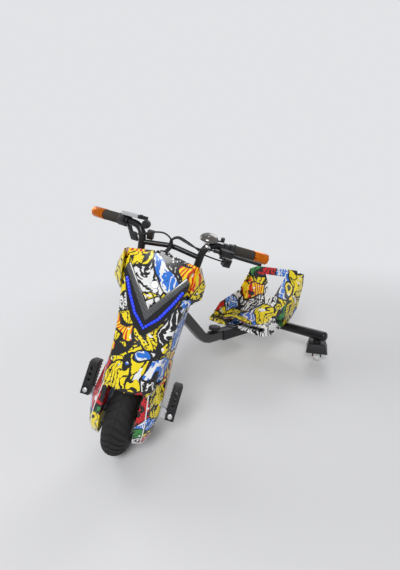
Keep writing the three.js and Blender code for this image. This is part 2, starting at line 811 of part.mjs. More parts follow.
function switchBox() {
  const clampRing = drum(switchRingRadius, [switchRingStart, switchRingStart + switchRingLength]);
  const stalk = drum(switchStalkRadius, [switchBoxTop - overrun, -barRadius], 12).rotateY(Math.PI / 2);
  const half = switchBoxWidth / 2;
  const body = block([switchBoxTop - switchBoxHeight, switchBoxTop], [-half, half],
    [switchBoxAlong - half, switchBoxAlong + half]);
  const pocket = drum(buttonRadius + runningGap, [half - buttonDepth, half + overrun]);
  pocket.rotateX(-Math.PI / 2).translate(switchBoxTop - switchBoxHeight / 2, 0, switchBoxAlong);
  const bore = drum(barRadius + seam, [0, barLength]);
  const armAlong = [switchStalkAlong - switchStalkRadius, switchBoxAlong];
  const armAcross = [-switchStalkRadius, switchStalkRadius];
  const arm = block([switchBoxTop - switchArmThickness, switchBoxTop], armAcross, armAlong);
  return onBar(cut(join(clampRing, stalk.translate(0, 0, switchStalkAlong), arm, body), bore, pocket));
}
function switchButton() {
  const half = switchBoxWidth / 2;
  const button = drum(buttonRadius, [half - buttonDepth + buttonTravel, half + buttonProud], 16);
  return onBar(button.rotateX(-Math.PI / 2).translate(switchBoxTop - switchBoxHeight / 2, 0, switchBoxAlong));
}

// Cables, held along their whole routes: shares of the elbow's place across, back and up
const throttleRouteShares = [[-1.25, 0.788, 0.973], [-0.938, 0.762, 0.975], [-0.573, 0.788, 1.002],
  [-0.229, 0.84, 1.007]];
const brakeRouteShares = [[1.125, 0.83, 0.987], [0.917, 0.793, 0.982], [0.667, 0.788, 0.987],
  [0.417, 0.809, 0.996], [0.188, 0.851, 1]];
const switchRouteShares = [[1.188, 1.061, 0.922], [1, 1.077, 0.926], [0.792, 1.045, 0.947],
  [0.469, 0.982, 0.98], [0.167, 0.935, 0.998]];
function onBarPoint(up, front, along, side) {
  return vector(up, front, along).applyMatrix4(barFrame).multiply(vector(side, 1, 1));
}
const bundleTop = vector(0, bundleTopY, bundleTopZ);
function bundleEntry(angle) {
  const height = bundleTopZ + cableEndGap;
  const foot = vector(bundleSpread * Math.cos(angle), bundleTopY + bundleSpread * Math.sin(angle), height);
  return [foot.clone().add(vector(0, 0, tieDrop)), foot];
}
function cable([up, front, along], side, route, entry) {
  const start = onBarPoint(up, front, along, side);
  const lead = onBarPoint(up, front, along - cableLead, side);
  const middle = route.map(([x, y, z]) => vector(x * elbowHalf, y * elbowY, z * elbowZ));
  const points = [start, lead, ...middle, ...entry];
  const path = new THREE.CatmullRomCurve3(points);
  return pipe(path, cableRadius, cableSides, Math.round(path.getLength() / cableStep));
}
function throttleCable() {
  const end = throttleStart - nozzleLength - seam;
  return cable([-nozzleDrop, nozzleFront, end], -1, throttleRouteShares, bundleEntry((Math.PI * 7) / 6));
}
function brakeCable() {
  const end = perchStart - adjusterLength - seam;
  const place = [-adjusterDrop, perchBack + adjusterRadius / 2, end];
  return cable(place, 1, brakeRouteShares, bundleEntry(-Math.PI / 6));
}
function switchCable() {
  const end = switchBoxAlong - switchBoxWidth / 2 - seam;
  const place = [switchBoxTop - switchBoxHeight / 2, 0, end];
  return cable(place, 1, switchRouteShares, bundleEntry(Math.PI / 2));
}
function cableBundle(grow) {
  const foot = vector(cableHoleX, cableHoleY, bundleFootZ);
  const low = foot.clone().add(vector(0, 0, bundleTopZ - bundleFootZ).multiplyScalar(0.5));
  const neck = bundleTop.clone().sub(vector(0, 0, tieDrop * 2));
  const path = new THREE.CatmullRomCurve3([bundleTop, neck, low, foot]);
  return pipe(path, bundleRadius + grow, cableSides, Math.round(path.getLength() / (bundleRadius * 2)));
}
function cableTie() {
  const middle = bundleTopZ - tieDrop;
  const band = drum(bundleRadius + tieThickness, [middle - tieWidth / 2, middle + tieWidth / 2], 16);
  return cut(band.translate(0, bundleTopY, 0), cableBundle(seam));
}

// Front shell: a skin with a blunt V face, open at the back and below, with the sloping dash on top
// Shares of the height, of the depth at the face, of the width and set-back at the corner,
// of the width and depth at the shoulder, and of the width at the back
const shellShares = [
  [0, 0, 0.625, 0.073, 0.866, 0.389, 0.848],
  [0.113, 0.087, 0.643, 0.073, 0.875, 0.52, 0.857],
  [0.267, 0.207, 0.679, 0.073, 0.893, 0.6, 0.875],
  [0.424, 0.353, 0.75, 0.044, 0.902, 0.618, 0.893],
  [0.602, 0.447, 0.839, 0.036, 0.929, 0.622, 0.929],
  [0.756, 0.531, 0.893, 0.029, 1, 0.702, 1],
  [1, 0.662, 0.964, 0.029, 1, 0.818, 1],
];
function shellBody(grow, backGrow) {
  const leftHalf = loft(shellShares.map(([up, face, cornerX, cornerBack, shoulderX, shoulderY, backX]) => {
    const z = shellBottomZ + up * shellHeight;
    const front = shellFrontY + face * shellDepth - grow;
    const corner = vector(cornerX * shellHalfWidth + grow, front + cornerBack * shellDepth, z);
    const shoulder = vector(shoulderX * shellHalfWidth + grow, shellFrontY + shoulderY * shellDepth, z);
    const backPlane = Math.min(z * rakeSlope - shellSetBack / rakeCosine, shellBackY);
    const back = vector(backX * shellHalfWidth + grow, backPlane + backGrow, z);
    return [vector(0, front, z), corner, shoulder, back, vector(0, back.y, z)];
  }));
  return join(leftHalf, mirrored(leftHalf));
}
// Everything above the dash, lowered by a given amount
function aboveDash(lower) {
  const ridge = dashRidge - lower;
  const half = shellHalfWidth + overrun;
  const side = ridge - dashCornerDrop;
  const high = ridge + shellHeight;
  const shape = outline([[-half, side], [0, ridge], [half, side], [half, high], [-half, high]]);
  const solid = slab(shape, shellHeight * 2).translate(0, 0, -shellHeight).rotateX(Math.PI / 2);
  return leaned(solid);
}
function frontShell() {
  const outer = cut(shellBody(0, 0), aboveDash(0));
  const raised = cut(shellBody(-shellWall, overrun), aboveDash(shellWall));
  const mouth = raised.clone().translate(0, 0, -overrun);
  const risers = handlebarTube(riserHoleGap);
  return cut(outer, raised, mouth, risers, mirrored(risers), cableBundle(slantSeam));
}
function backCover() {
  const front = -shellSetBack + seam;
  const far = front + backCoverThickness;
  const start = (shellBottomZ + far * Math.sin(rakeAngle)) / rakeCosine;
  const across = [-backCoverHalfWidth, backCoverHalfWidth];
  return leaned(block(across, [front, far], [start, backCoverTop]));
}
function batteryPack() {
  const back = -shellSetBack;
  const half = shellHalfWidth - batteryInset;
  const tall = [batteryStart, headTubeEnd - batteryDrop];
  return leaned(block([-half, half], [back - batteryDepth, back], tall));
}

// The V on the face: flat-fronted plates that fill the space down to the shell
// Shares of the shell's depth and height where the face's frame starts, and of the face's rise over its run
const faceShares = [0.33091, 0.42416];
const faceRunShare = 0.53451;
const vHeightShare = 0.58435;
const headlightShare = 0.5144;
const faceY = shellFrontY + faceShares[0] * shellDepth;
const faceZ = shellBottomZ + faceShares[1] * shellHeight;
const faceLean = Math.atan2(faceRunShare * shellDepth, shellHeight);
const vHalfWidth = shellHalfWidth - vMargin;
const vHeight = (vHeightShare * shellHeight) / Math.cos(faceLean);
const headlightHeight = headlightShare * vHeight;
function onFace(geometry) {
  return geometry.rotateX(Math.PI / 2 - faceLean).translate(0, faceY, faceZ);
}
// A plate from an outline of its left half, with a given height of its front over the face
function facePlate(leftHalf, proud) {
  const rightHalf = leftHalf.filter(([x]) => x > 0).map(([x, height]) => [-x, height]).reverse();
  const plate = slab(outline([...leftHalf, ...rightHalf]), plateDepth + proud);
  return plate.translate(0, 0, -plateDepth);
}
function seatedOnShell(plate) {
  return largest(cut(onFace(plate), shellBody(seam, 0)));
}
const borderShares = [[0, -0.119], [0.419, 0.045], [0.699, 0.247], [1, 0.58]];
const trimOuterShares = [[0.978, 0.642], [0, 0.082]];
const trimInnerShares = [[0, 0.218], [0.86, 0.687]];
const panelTopShares = [[1.032, 0.807], [0, 0.881]];
const stripShares = [
  [0, -0.004], [0.204, 0.078], [0.376, 0.144], [0.538, 0.259], [0.656, 0.337], [0.86, 0.507],
];
function onV(shares, lift = 0) {
  return shares.map(([across, up]) => [across * vHalfWidth, up * vHeight + lift]);
}
// A band of one width along a line of points
function band(points, width) {
  const line = points.map(([x, y]) => new THREE.Vector2(x, y));
  const sides = line.map((point, place) => {
    const before = line[Math.max(place - 1, 0)];
    const after = line[Math.min(place + 1, line.length - 1)];
    const along = after.clone().sub(before).normalize();
    return new THREE.Vector2(along.y, -along.x).multiplyScalar(width / 2);
  });
  const lower = line.map((point, place) => point.clone().add(sides[place]));
  const upper = line.map((point, place) => point.clone().sub(sides[place])).reverse();
  return new THREE.Shape([...lower, ...upper]);
}
function stripShape(width) {
  const left = onV(stripShares);
  const right = left.slice(1).map(([x, y]) => [-x, y]).reverse();
  return band([...right, ...left], width);
}
function vChannel() {
  const leftHalf = [...onV(borderShares), ...onV(trimOuterShares, -slantSeam)];
  const slot = slab(stripShape(stripWidth + slantSeam), plateDepth * 2).translate(0, 0, -plateDepth);
  return seatedOnShell(cut(facePlate(leftHalf, 0), slot));
}
function lightStrip() {
  return seatedOnShell(slab(stripShape(stripWidth), plateDepth).translate(0, 0, -plateDepth));
}
function vTrim() {
  const [outerEnd, outerApex] = onV(trimOuterShares);
  return seatedOnShell(facePlate([outerApex, outerEnd, ...onV(trimInnerShares).reverse()], trimProud));
}
function centrePanel() {
  const leftHalf = [...onV(trimInnerShares, slantSeam), ...onV(panelTopShares)];
  const hole = drum(headlightRadius + seam, [-plateDepth, plateDepth]).translate(0, headlightHeight, 0);
  return seatedOnShell(cut(facePlate(leftHalf, 0), hole));
}
function headlight() {
  const lamp = drum(headlightRadius, [-plateDepth, headlightProud]).translate(0, headlightHeight, 0);
  return seatedOnShell(lamp);
}

// Side wing: a fin that flares out from the face's edge
const wingShares = [[0, 0.1, 0], [0, 0, 0.42], [0.18, 0.3, 1], [1, 0.57, 0.19], [1, 0.85, 0.51],
  [0.88, 0.7, 0.19], [0.88, 1, 0.51], [0.06, 0.79, 0], [0.24, 1, 0.93]];
function sideWing() {
  const points = wingShares.map(([out, back, up]) => vector(wingInnerHalf + out * wingWidth,
    wingFrontY + back * wingDepth, wingBottomZ + up * wingHeight));
  return largest(cut(new ConvexGeometry(points), shellBody(seam, 0)));
}

// Leg cover: a skin beside the wheel, open above and below, held between the fork leg and the axle's collar
// Shares of the height, of the depth at the front, of the width and depth at the corner and
// at the shoulder, and of the width at the back
const legCoverShares = [
  [0, 0.042, 0.519, 0.08, 0.852, 0.268, 0.815],
  [0.252, 0, 0.593, 0.052, 0.963, 0.239, 0.926],
  [0.551, 0.024, 0.556, 0.089, 1, 0.296, 0.907],
  [1, 0.174, 0.37, 0.202, 0.833, 0.606, 0.815],
];
const legCoverTop = shellBottomZ - seam;
function legCoverBody(wall, inner, bottomLift, topLift) {
  const height = legCoverTop - legCoverBottomZ;
  return loft(legCoverShares.map(([up, front, cornerX, cornerY, shoulderX, shoulderY, backX], level) => {
    const lift = (level === 0 ? bottomLift : 0) + (level === legCoverShares.length - 1 ? topLift : 0);
    const z = legCoverBottomZ + up * height + lift;
    const across = (share) => legCoverInnerHalf + share * legCoverWidth - wall;
    const deep = (share) => legCoverFrontY + share * legCoverDepth + wall;
    const back = (z - lift) * rakeSlope + (legBreadth / 2 + legCoverBackWall) / rakeCosine - wall;
    return [vector(inner, deep(front), z), vector(across(cornerX), deep(cornerY), z),
      vector(across(shoulderX), deep(shoulderY), z), vector(across(backX), back, z), vector(inner, back, z)];
  }));
}
const pegStart = pegAlong - pegPlateHeight / 2;
const pegEnd = pegAlong + pegPlateHeight / 2;
const pegPlateFront = -pegForward - pegPlateBreadth / 2;
const pegPlateBack = -pegForward + pegPlateBreadth / 2;
const pegStubY = -pegForward + pegStubBack;
function legCover() {
  const outer = legCoverBody(0, legCoverInnerHalf, 0, 0);
  const hollow = legCoverBody(legCoverWall, legInnerHalf - seam, -overrun, overrun);
  const collarHole = drum(axleCollarRadius + seam, [0, legInnerHalf + overrun]).rotateY(Math.PI / 2);
  const pocket = block([pegPlateStart - seam, pegHalf], [pegPlateFront - seam, pegPlateBack + seam],
    [pegStart - seam, pegEnd + seam]);
  const stubHole = drum(pegStubRadius + seam, [legOuterHalf, pegHalf]).rotateY(Math.PI / 2);
  stubHole.translate(0, pegStubY, pegAlong);
  return cut(outer, hollow, collarHole, leaned(pocket), leaned(stubHole));
}

// Foot peg bracket: plate, stub to the fork leg, lug and the pin that the peg folds on
function pegBracket() {
  const plateEnd = pegPlateStart + pegPlateThickness;
  const plate = block([pegPlateStart, plateEnd], [pegPlateFront, pegPlateBack], [pegStart, pegEnd]);
  const stub = drum(pegStubRadius, [legOuterHalf + seam, plateEnd]).rotateY(Math.PI / 2);
  stub.translate(0, pegStubY, pegAlong);
  const lugHalf = pegSlotWidth / 2 - runningGap;
  const eye = new THREE.Shape();
  eye.absarc(pegHalf, pegAlong, pegLugRadius, -Math.PI / 2, Math.PI / 2);
  eye.lineTo(plateEnd - seam, pegAlong + pegLugHalfHeight);
  eye.lineTo(plateEnd - seam, pegAlong - pegLugHalfHeight);
  const lug = slab(eye, lugHalf * 2, 12).rotateX(Math.PI / 2).translate(0, lugHalf - pegForward, 0);
  const pinHalf = pegBreadth / 2 + runningGap;
  const headEnd = pinHalf + pegHeadHeight;
  const pin = drum(pegPinRadius, [-headEnd, headEnd], 16);
  const head = drum(pegHeadRadius, [pinHalf, headEnd], 6);
  const heads = join(pin, head, drum(pegHeadRadius, [-headEnd, -pinHalf], 6));
  heads.rotateX(Math.PI / 2).translate(pegHalf, -pegForward, pegAlong);
  return leaned(join(plate, stub, lug, heads));
}
// Foot peg in its own frame: X outward, Y across the tread and Z from the pin to the tip
function footPeg() {
  const half = pegThickness / 2;
  const tip = pegLength - pegRoot;
  const toothPitch = tip / pegTeeth;
  const points = [
    [half, -pegRoot], [half, tip - pegTipNarrowing * 2], [half - pegTipNarrowing, tip], [-half, tip],
  ];
  for (let tooth = pegTeeth - 1; tooth >= 1; tooth -= 1) {
    points.push([-half - pegToothDepth, (tooth + 0.5) * toothPitch], [-half, tooth * toothPitch]);
  }
  points.push([-half, -pegRoot]);
  const body = slab(outline(points), pegBreadth).rotateX(Math.PI / 2).translate(0, pegBreadth / 2, 0);
  const slotHalf = pegSlotWidth / 2;
  const slot = block([-half - overrun, half + overrun], [-slotHalf, slotHalf],
    [-pegRoot - overrun, pegSlotDepth - pegRoot]);
  const holes = [pegPinRadius + runningGap, ...pegHoleRadii].map((radius, place) => {
    const height = place === 0 ? 0 : pegFirstHole + (place - 1) * pegHoleSpacing;
    return drum(radius, [-pegBreadth, pegBreadth], 16).rotateX(Math.PI / 2).translate(0, 0, height);
  });
  return cut(body, slot, ...holes);
}

// Main frame: head tube and bent main tube
const neck = steerAxis.clone().multiplyScalar(neckAlong).add(vector(0, 0, axleHeight));
const tubeBend = vector(0, bendY, bendZ);
const tubeRearward = vector(0, Math.cos(tubeFall), -Math.sin(tubeFall));
const tubeEnd = tubeBend.clone().addScaledVector(tubeRearward, tubeRun);
function mainTube() {
  const wide = tubeWidth / 2;
  const high = tubeHeight / 2;
  const section = outline([[wide, high - tubeChamfer], [wide - tubeChamfer, high], [tubeChamfer - wide, high],
    [-wide, high - tubeChamfer], [-wide, tubeChamfer - high], [tubeChamfer - wide, -high],
    [wide - tubeChamfer, -high], [wide, tubeChamfer - high]]);
  const path = cornerPath(neck, tubeBend, tubeEnd, bendTangent);
  return new THREE.ExtrudeGeometry(section, { steps: tubeSteps, bevelEnabled: false, extrudePath: path });
}
function mainFrame() {
  const headTube = leaned(drum(headTubeRadius, [headTubeStart, headTubeEnd], fineSides));
  const bore = leaned(drum(steererRadius + runningGap, [legTop, steererTop], fineSides));
  headTube.translate(0, 0, axleHeight);
  bore.translate(0, 0, axleHeight);
  return cut(join(headTube, mainTube()), bore);
}

// Rear sleeve in the frame of the lower tube: Y back along the tube and Z square to it
function tubeLine(geometry) {
  return geometry.rotateX(-tubeFall).translate(0, bendY, bendZ);
}
function rearSleeve() {
  const outer = block([-sleeveHalfWidth, sleeveHalfWidth], [sleeveStart, crossbarAlong],
    [-sleeveHalfHeight, sleeveHalfHeight]);
  const hollowWide = tubeWidth / 2 + seam;
  const hollowHigh = tubeHeight / 2 + seam;
  const hollowEnd = crossbarAlong - crossbarRadius - sleevePlug;
  const hollowAlong = [sleeveStart - overrun, hollowEnd];
  const hollow = block([-hollowWide, hollowWide], hollowAlong, [-hollowHigh, hollowHigh]);
  const tongue = block([-tongueWidth / 2, tongueWidth / 2], [tongueStart, sleeveStart + overrun],
    [hollowHigh, hollowHigh + tongueThickness]);
  const seatHalf = sleeveHalfWidth + overrun;
  const seat = drum(crossbarRadius + seam, [-seatHalf, seatHalf], fineSides);
  seat.rotateY(Math.PI / 2).translate(0, crossbarAlong, 0);
  return tubeLine(cut(join(outer, tongue), hollow, seat));
}
const knobBase = tubeHeight / 2 + seam + tongueThickness + seam;
function clampKnob() {
  const points = [];
  const sides = knobLobes * 8;
  for (let step = 0; step < sides; step += 1) {
    const angle = (step / sides) * Math.PI * 2;
    const radius = knobRadius - (knobLobeDepth / 2) * (1 - Math.cos(angle * knobLobes));
    points.push([radius * Math.cos(angle), radius * Math.sin(angle)]);
  }
  const star = slab(outline(points), knobHeight).translate(0, 0, knobBase + knobNeckHeight);
  const stem = drum(knobNeckRadius, [knobBase, knobBase + knobNeckHeight + knobHeight / 2]);
  return join(star, stem);
}

// Bucket seat: side walls, floor and back in one skin, with a tunnel below that straddles the sleeve
const seatOuterShares = [[0, 0.086], [0.189, 0], [0.6, 0.029], [0.806, 0.21], [0.961, 0.667], [1, 0.99],
  [0.961, 1], [0.928, 0.857], [0.672, 0.505], [0.231, 0.4], [0.075, 0.21], [0.011, 0.162]];
const seatInnerShares = [[-0.033, 0.167], [0.086, 0.167], [0.194, 0.029], [0.594, 0.057], [0.789, 0.229],
  [0.942, 0.676], [0.978, 1.057], [0.41, 1.5], [-0.033, 1.5]];
function onSeat([back, up]) {
  return [seatFrontY + back * seatLength, seatBottomZ + up * seatHeight];
}
function seatSlab(shares, width) {
  return sideSlab(shares.map(onSeat), width);
}
function tunnelBlock(grow) {
  const half = tunnelHalf + grow;
  return tubeLine(block([-half, half], [sleeveStart, crossbarAlong], [-seatHeight, tunnelTop + grow]));
}
function seatWindow() {
  const bottom = seatBottomZ + seatWindowBottomShare * seatHeight;
  const top = seatBottomZ + seatWindowTopShare * seatHeight;
  const shape = outline([[-seatWindowBottomHalf, bottom], [seatWindowBottomHalf, bottom],
    [seatWindowTopHalf, top], [-seatWindowTopHalf, top]]);
  const solid = slab(shape, seatLength).rotateX(Math.PI / 2);
  return solid.translate(0, seatFrontY + seatLength * 1.5, 0);
}
function seatCorner() {
  const top = seatBottomZ + seatHeight;
  const outside = seatHalfWidth + overrun;
  const fall = (seatCornerDrop * (outside - seatCornerStartHalf)) / (seatHalfWidth - seatCornerStartHalf);
  const shape = outline([[seatCornerStartHalf, top], [outside, top - fall], [outside, top + overrun],
    [seatCornerStartHalf, top + overrun]]);
  return slab(shape, seatLength / 2).rotateX(Math.PI / 2).translate(0, seatFrontY + seatLength + overrun, 0);
}
function bucketSeat() {
  const outer = seatSlab(seatOuterShares, seatHalfWidth * 2);
  const inside = cut(seatSlab(seatInnerShares, (seatHalfWidth - seatWall) * 2), tunnelBlock(seatWall));
  const corner = seatCorner();
  return cut(outer, inside, tunnelBlock(0), seatWindow(), corner, mirrored(corner));
}
// Seat bracket: a plate on the sleeve that thickens to the rear to follow the seat's underside
function seatBracket() {
  const toTube = ([y, z]) => {
    const along = (y - bendY) * Math.cos(tubeFall) - (z - bendZ) * Math.sin(tubeFall);
    return [along, (y - bendY) * Math.sin(tubeFall) + (z - bendZ) * Math.cos(tubeFall)];
  };
  const [, frontCorner, rearCorner] = seatOuterShares.map(onSeat).map(toTube);
  const bottom = sleeveHalfHeight + seam;
  const top = bottom + bracketThickness;
  const share = (top + seam - frontCorner[1]) / (rearCorner[1] - frontCorner[1]);
  const kneeAlong = frontCorner[0] + share * (rearCorner[0] - frontCorner[0]);
  const points = [[bracketFront, bottom], [rearCorner[0], bottom], [rearCorner[0], rearCorner[1] - slantSeam],
    [kneeAlong, top - seam], [bracketFront, top]];
  return tubeLine(sideSlab(points, bracketHalfWidth * 2));
}

// Rear crossbar with rounded ends and a blind bore for each caster stem
function rearCrossbar() {
  const flat = crossbarRadius - crossbarEdge;
  const shoulder = crossbarHalf - crossbarEdge;
  const slant = crossbarEdge * Math.SQRT1_2;
  const upper = [
    [crossbarRadius, shoulder], [flat + slant, shoulder + slant], [flat, crossbarHalf], [0, crossbarHalf],
  ];
  const lower = upper.map(([radius, height]) => [radius, -height]).reverse();
  const bar = turned([...lower, ...upper], fineSides).rotateY(Math.PI / 2);
  const bores = [-1, 1].map((side) => {
    const bore = drum(stemRadius + runningGap, [-crossbarRadius - overrun, stemRise + slantSeam]);
    return bore.translate(side * casterHalf, 0, 0);
  });
  return cut(bar, ...bores).translate(0, crossbarY, crossbarZ);
}

// Casters, about the stem's axis with Y towards the trailing wheel
const prongInner = casterWidth / 2 + prongGap;
const prongOuter = prongInner + prongThickness;
function casterFork() {
  const backEnd = casterTrail + prongHalfBreadth;
  const bridgeTop = bridgeZ + bridgeThickness;
  const bridge = block([-prongOuter, prongOuter], [-bossRadius, backEnd], [bridgeZ, bridgeTop]);
  const foot = casterRadius - prongFoot;
  const breadth = [casterTrail - prongHalfBreadth, backEnd];
  const prongs = [-1, 1].map((side) => {
    const across = [side * prongInner, side * prongOuter].sort((one, two) => one - two);
    return block(across, breadth, [foot, bridgeZ + bridgeThickness]);
  });
  const boss = drum(bossRadius, [bridgeZ, bossTop]);
  const stem = drum(stemRadius, [bridgeZ, crossbarZ + stemRise]);
  const pin = drum(casterPinRadius, [-prongOuter, prongOuter], 16).rotateY(Math.PI / 2);
  return join(bridge, ...prongs, boss, stem, pin.translate(0, casterTrail, casterRadius));
}
function squareRing(half, z) {
  return [vector(-half, -half, z), vector(half, -half, z), vector(half, half, z), vector(-half, half, z)];
}
function casterCover() {
  const bottomZ = coverTopZ - coverHeight;
  const flare = (coverBottomHalf - coverTopHalf) / coverHeight;
  const outer = loft([squareRing(coverBottomHalf, bottomZ), squareRing(coverTopHalf, coverTopZ)]);
  const innerTop = coverTopHalf + flare * coverWall - coverWall;
  const innerBottom = coverBottomHalf + flare * overrun - coverWall;
  const innerBottomRing = squareRing(innerBottom, bottomZ - overrun);
  const inner = loft([innerBottomRing, squareRing(innerTop, coverTopZ - coverWall)]);
  return cut(outer, inner, drum(bossRadius + seam, [bottomZ, coverTopZ + overrun]));
}
function casterWheel() {
  const half = casterWidth / 2;
  const bore = casterPinRadius + runningGap;
  const profile = [[bore, -half], [casterRadius - casterEdge, -half], [casterRadius, casterEdge - half],
    [casterRadius, half - casterEdge], [casterRadius - casterEdge, half], [bore, half], [bore, -half]];
  return turned(profile, fineSides).rotateY(Math.PI / 2);
}

// Assembly
const vehicle = new THREE.Group();
vehicle.name = 'drift_trike';
const origin = vector(0, 0, 0);

const steering = frame(vehicle, 'steering', vector(0, 0, axleHeight));
steering.quaternion.setFromAxisAngle(steerAxis, steerAngle);
const wheel = frame(steering, 'front_wheel', origin);
piece(wheel, 'front_tyre', tyre(), tyreRubber);
piece(wheel, 'hub_motor', hubMotor(), blackPlastic);
piece(steering, 'front_axle', frontAxle(), silverSteel);
piece(steering, 'fork_crown', forkCrown(), blackSteel);
piece(steering, 'top_clamp', topClamp(), blackSteel);
piece(steering, 'handlebar_brace', handlebarBrace(), blackSteel);
for (const [side, label] of [[1, 'left'], [-1, 'right']]) {
  piece(steering, `fork_leg_${label}`, sided(side, forkLeg()), blackSteel);
  piece(steering, `handlebar_${label}`, sided(side, handlebarHalf()), blackSteel);
  piece(steering, `grip_${label}`, sided(side, grip()), gripRubber);
  piece(steering, `bar_end_${label}`, sided(side, barEndRing()), orangeAluminium);
  piece(steering, `side_wing_${label}`, sided(side, sideWing()), printYellow);
  piece(steering, `leg_cover_${label}`, sided(side, legCover()), printBlue);
  piece(steering, `peg_bracket_${label}`, sided(side, pegBracket()), silverSteel);
  const fork = frame(steering, `fork_frame_${label}`, origin);
  fork.rotation.x = -rakeAngle;
  const peg = frame(fork, `peg_${label}`, vector(side * pegHalf, -pegForward, pegAlong));
  piece(peg, `foot_peg_${label}`, sided(side, footPeg()), pegAluminium);
}
piece(steering, 'throttle_housing', mirrored(throttleHousing()), blackPlastic);
piece(steering, 'throttle_paddle', mirrored(throttlePaddle()), blackPlastic);
piece(steering, 'display_pack', mirrored(displayPack()), silverPlastic);
piece(steering, 'display_button', mirrored(displayButton()), blackPlastic);
piece(steering, 'horn_disc', mirrored(hornDisc()), blackPlastic);
piece(steering, 'wire_clamp', mirrored(wireClamp()), blackPlastic);
piece(steering, 'brake_clamp', brakeClamp(), blackPlastic);
piece(steering, 'brake_lever', brakeLever(), pegAluminium);
piece(steering, 'bell_base', bellBase(), silverSteel);
piece(steering, 'bell_dome', bellDome(), bellChrome);
piece(steering, 'bell_striker', bellStriker(), blackPlastic);
piece(steering, 'switch_box', switchBox(), blackPlastic);
piece(steering, 'switch_button', switchButton(), blackGloss);
piece(steering, 'cable_throttle', throttleCable(), blackPlastic);
piece(steering, 'cable_brake', brakeCable(), blackPlastic);
piece(steering, 'cable_switch', switchCable(), blackPlastic);
piece(steering, 'cable_bundle', cableBundle(0), blackPlastic);
piece(steering, 'cable_tie', cableTie(), blackPlastic);
piece(steering, 'front_shell', frontShell(), printRed);
piece(steering, 'back_cover', backCover(), blackPlastic);
piece(steering, 'battery_pack', batteryPack(), blackGloss);
piece(steering, 'v_channel', vChannel(), blackGloss);
piece(steering, 'light_strip', lightStrip(), blueLight);
piece(steering, 'v_trim', vTrim(), trimGrey);
piece(steering, 'centre_panel', centrePanel(), printYellow);
piece(steering, 'headlight', headlight(), whiteLight);

piece(vehicle, 'main_frame', mainFrame(), greySteel);
piece(vehicle, 'rear_sleeve', rearSleeve(), blackSteel);
piece(vehicle, 'seat_bracket', seatBracket(), blackSteel);
piece(vehicle, 'bucket_seat', bucketSeat(), printRed);
piece(vehicle, 'rear_crossbar', rearCrossbar(), blackSteel);
const tubeFrame = frame(vehicle, 'lower_tube', tubeBend);
tubeFrame.rotation.x = -tubeFall;
const knob = frame(tubeFrame, 'knob', vector(0, knobAlong, 0));
piece(knob, 'clamp_knob', clampKnob(), blackPlastic);
for (const [side, label] of [[1, 'left'], [-1, 'right']]) {
  const caster = frame(vehicle, `caster_${label}`, vector(side * casterHalf, crossbarY, 0));
  caster.rotation.z = casterTurn;
  piece(caster, `caster_fork_${label}`, casterFork(), blackSteel);
  piece(caster, `caster_cover_${label}`, casterCover(), blackPlastic);
  const roller = frame(caster, `roller_${label}`, vector(0, casterTrail, casterRadius));
  piece(roller, `caster_wheel_${label}`, casterWheel(), casterWhite);
}

// The origin is the middle of the standing trike's box, on the ground
const bounds = new THREE.Box3().setFromObject(vehicle, true);
const middle = bounds.getCenter(vector(0, 0, 0));
for (const child of vehicle.children) child.position.sub(vector(middle.x, middle.y, bounds.min.z));

export default vehicle;
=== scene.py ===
"""A child's drift trike: printed fairing over a motor wheel, raised handlebar, bucket seat, rear casters."""
import math

import bmesh
import bpy
from mathutils import Matrix, Vector


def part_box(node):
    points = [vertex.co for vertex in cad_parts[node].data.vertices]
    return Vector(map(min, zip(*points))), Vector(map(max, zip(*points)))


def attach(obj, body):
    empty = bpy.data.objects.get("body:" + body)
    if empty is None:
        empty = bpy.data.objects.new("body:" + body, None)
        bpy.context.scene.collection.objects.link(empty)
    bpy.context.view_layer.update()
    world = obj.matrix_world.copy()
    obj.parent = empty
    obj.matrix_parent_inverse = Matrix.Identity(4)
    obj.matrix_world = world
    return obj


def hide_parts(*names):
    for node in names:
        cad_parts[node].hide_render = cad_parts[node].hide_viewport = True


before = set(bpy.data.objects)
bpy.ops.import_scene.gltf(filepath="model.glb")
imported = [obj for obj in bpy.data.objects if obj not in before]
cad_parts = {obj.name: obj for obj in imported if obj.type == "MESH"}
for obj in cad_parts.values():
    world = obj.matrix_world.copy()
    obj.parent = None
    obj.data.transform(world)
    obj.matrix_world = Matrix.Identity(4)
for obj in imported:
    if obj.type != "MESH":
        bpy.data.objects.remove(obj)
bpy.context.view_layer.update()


# ---- Camera
# A wide view from the front left and above, as the trike was photographed: close to the
# handlebar, looking down and past the front wheel to the seat.
lens = bpy.data.cameras.new("camera")
lens.lens = 17.92
lens.clip_start = 0.02
camera = bpy.data.objects.new("camera", lens)
bpy.context.collection.objects.link(camera)
camera_spot = Vector((0.744, -0.7245, 0.756))
heading, fall, roll = math.radians(-46.8), math.radians(16.9), math.radians(-5.3)
ahead = Vector((math.sin(heading) * math.cos(fall), math.cos(heading) * math.cos(fall), -math.sin(fall)))
level = Vector((math.cos(heading), -math.sin(heading), 0))
upright = level.cross(ahead)
sideways = level * math.cos(roll) + upright * math.sin(roll)
above = upright * math.cos(roll) - level * math.sin(roll)
camera_turn = Matrix((sideways, above, -ahead)).transposed().to_4x4()
camera.matrix_world = Matrix.Translation(camera_spot) @ camera_turn
bpy.context.scene.camera = camera


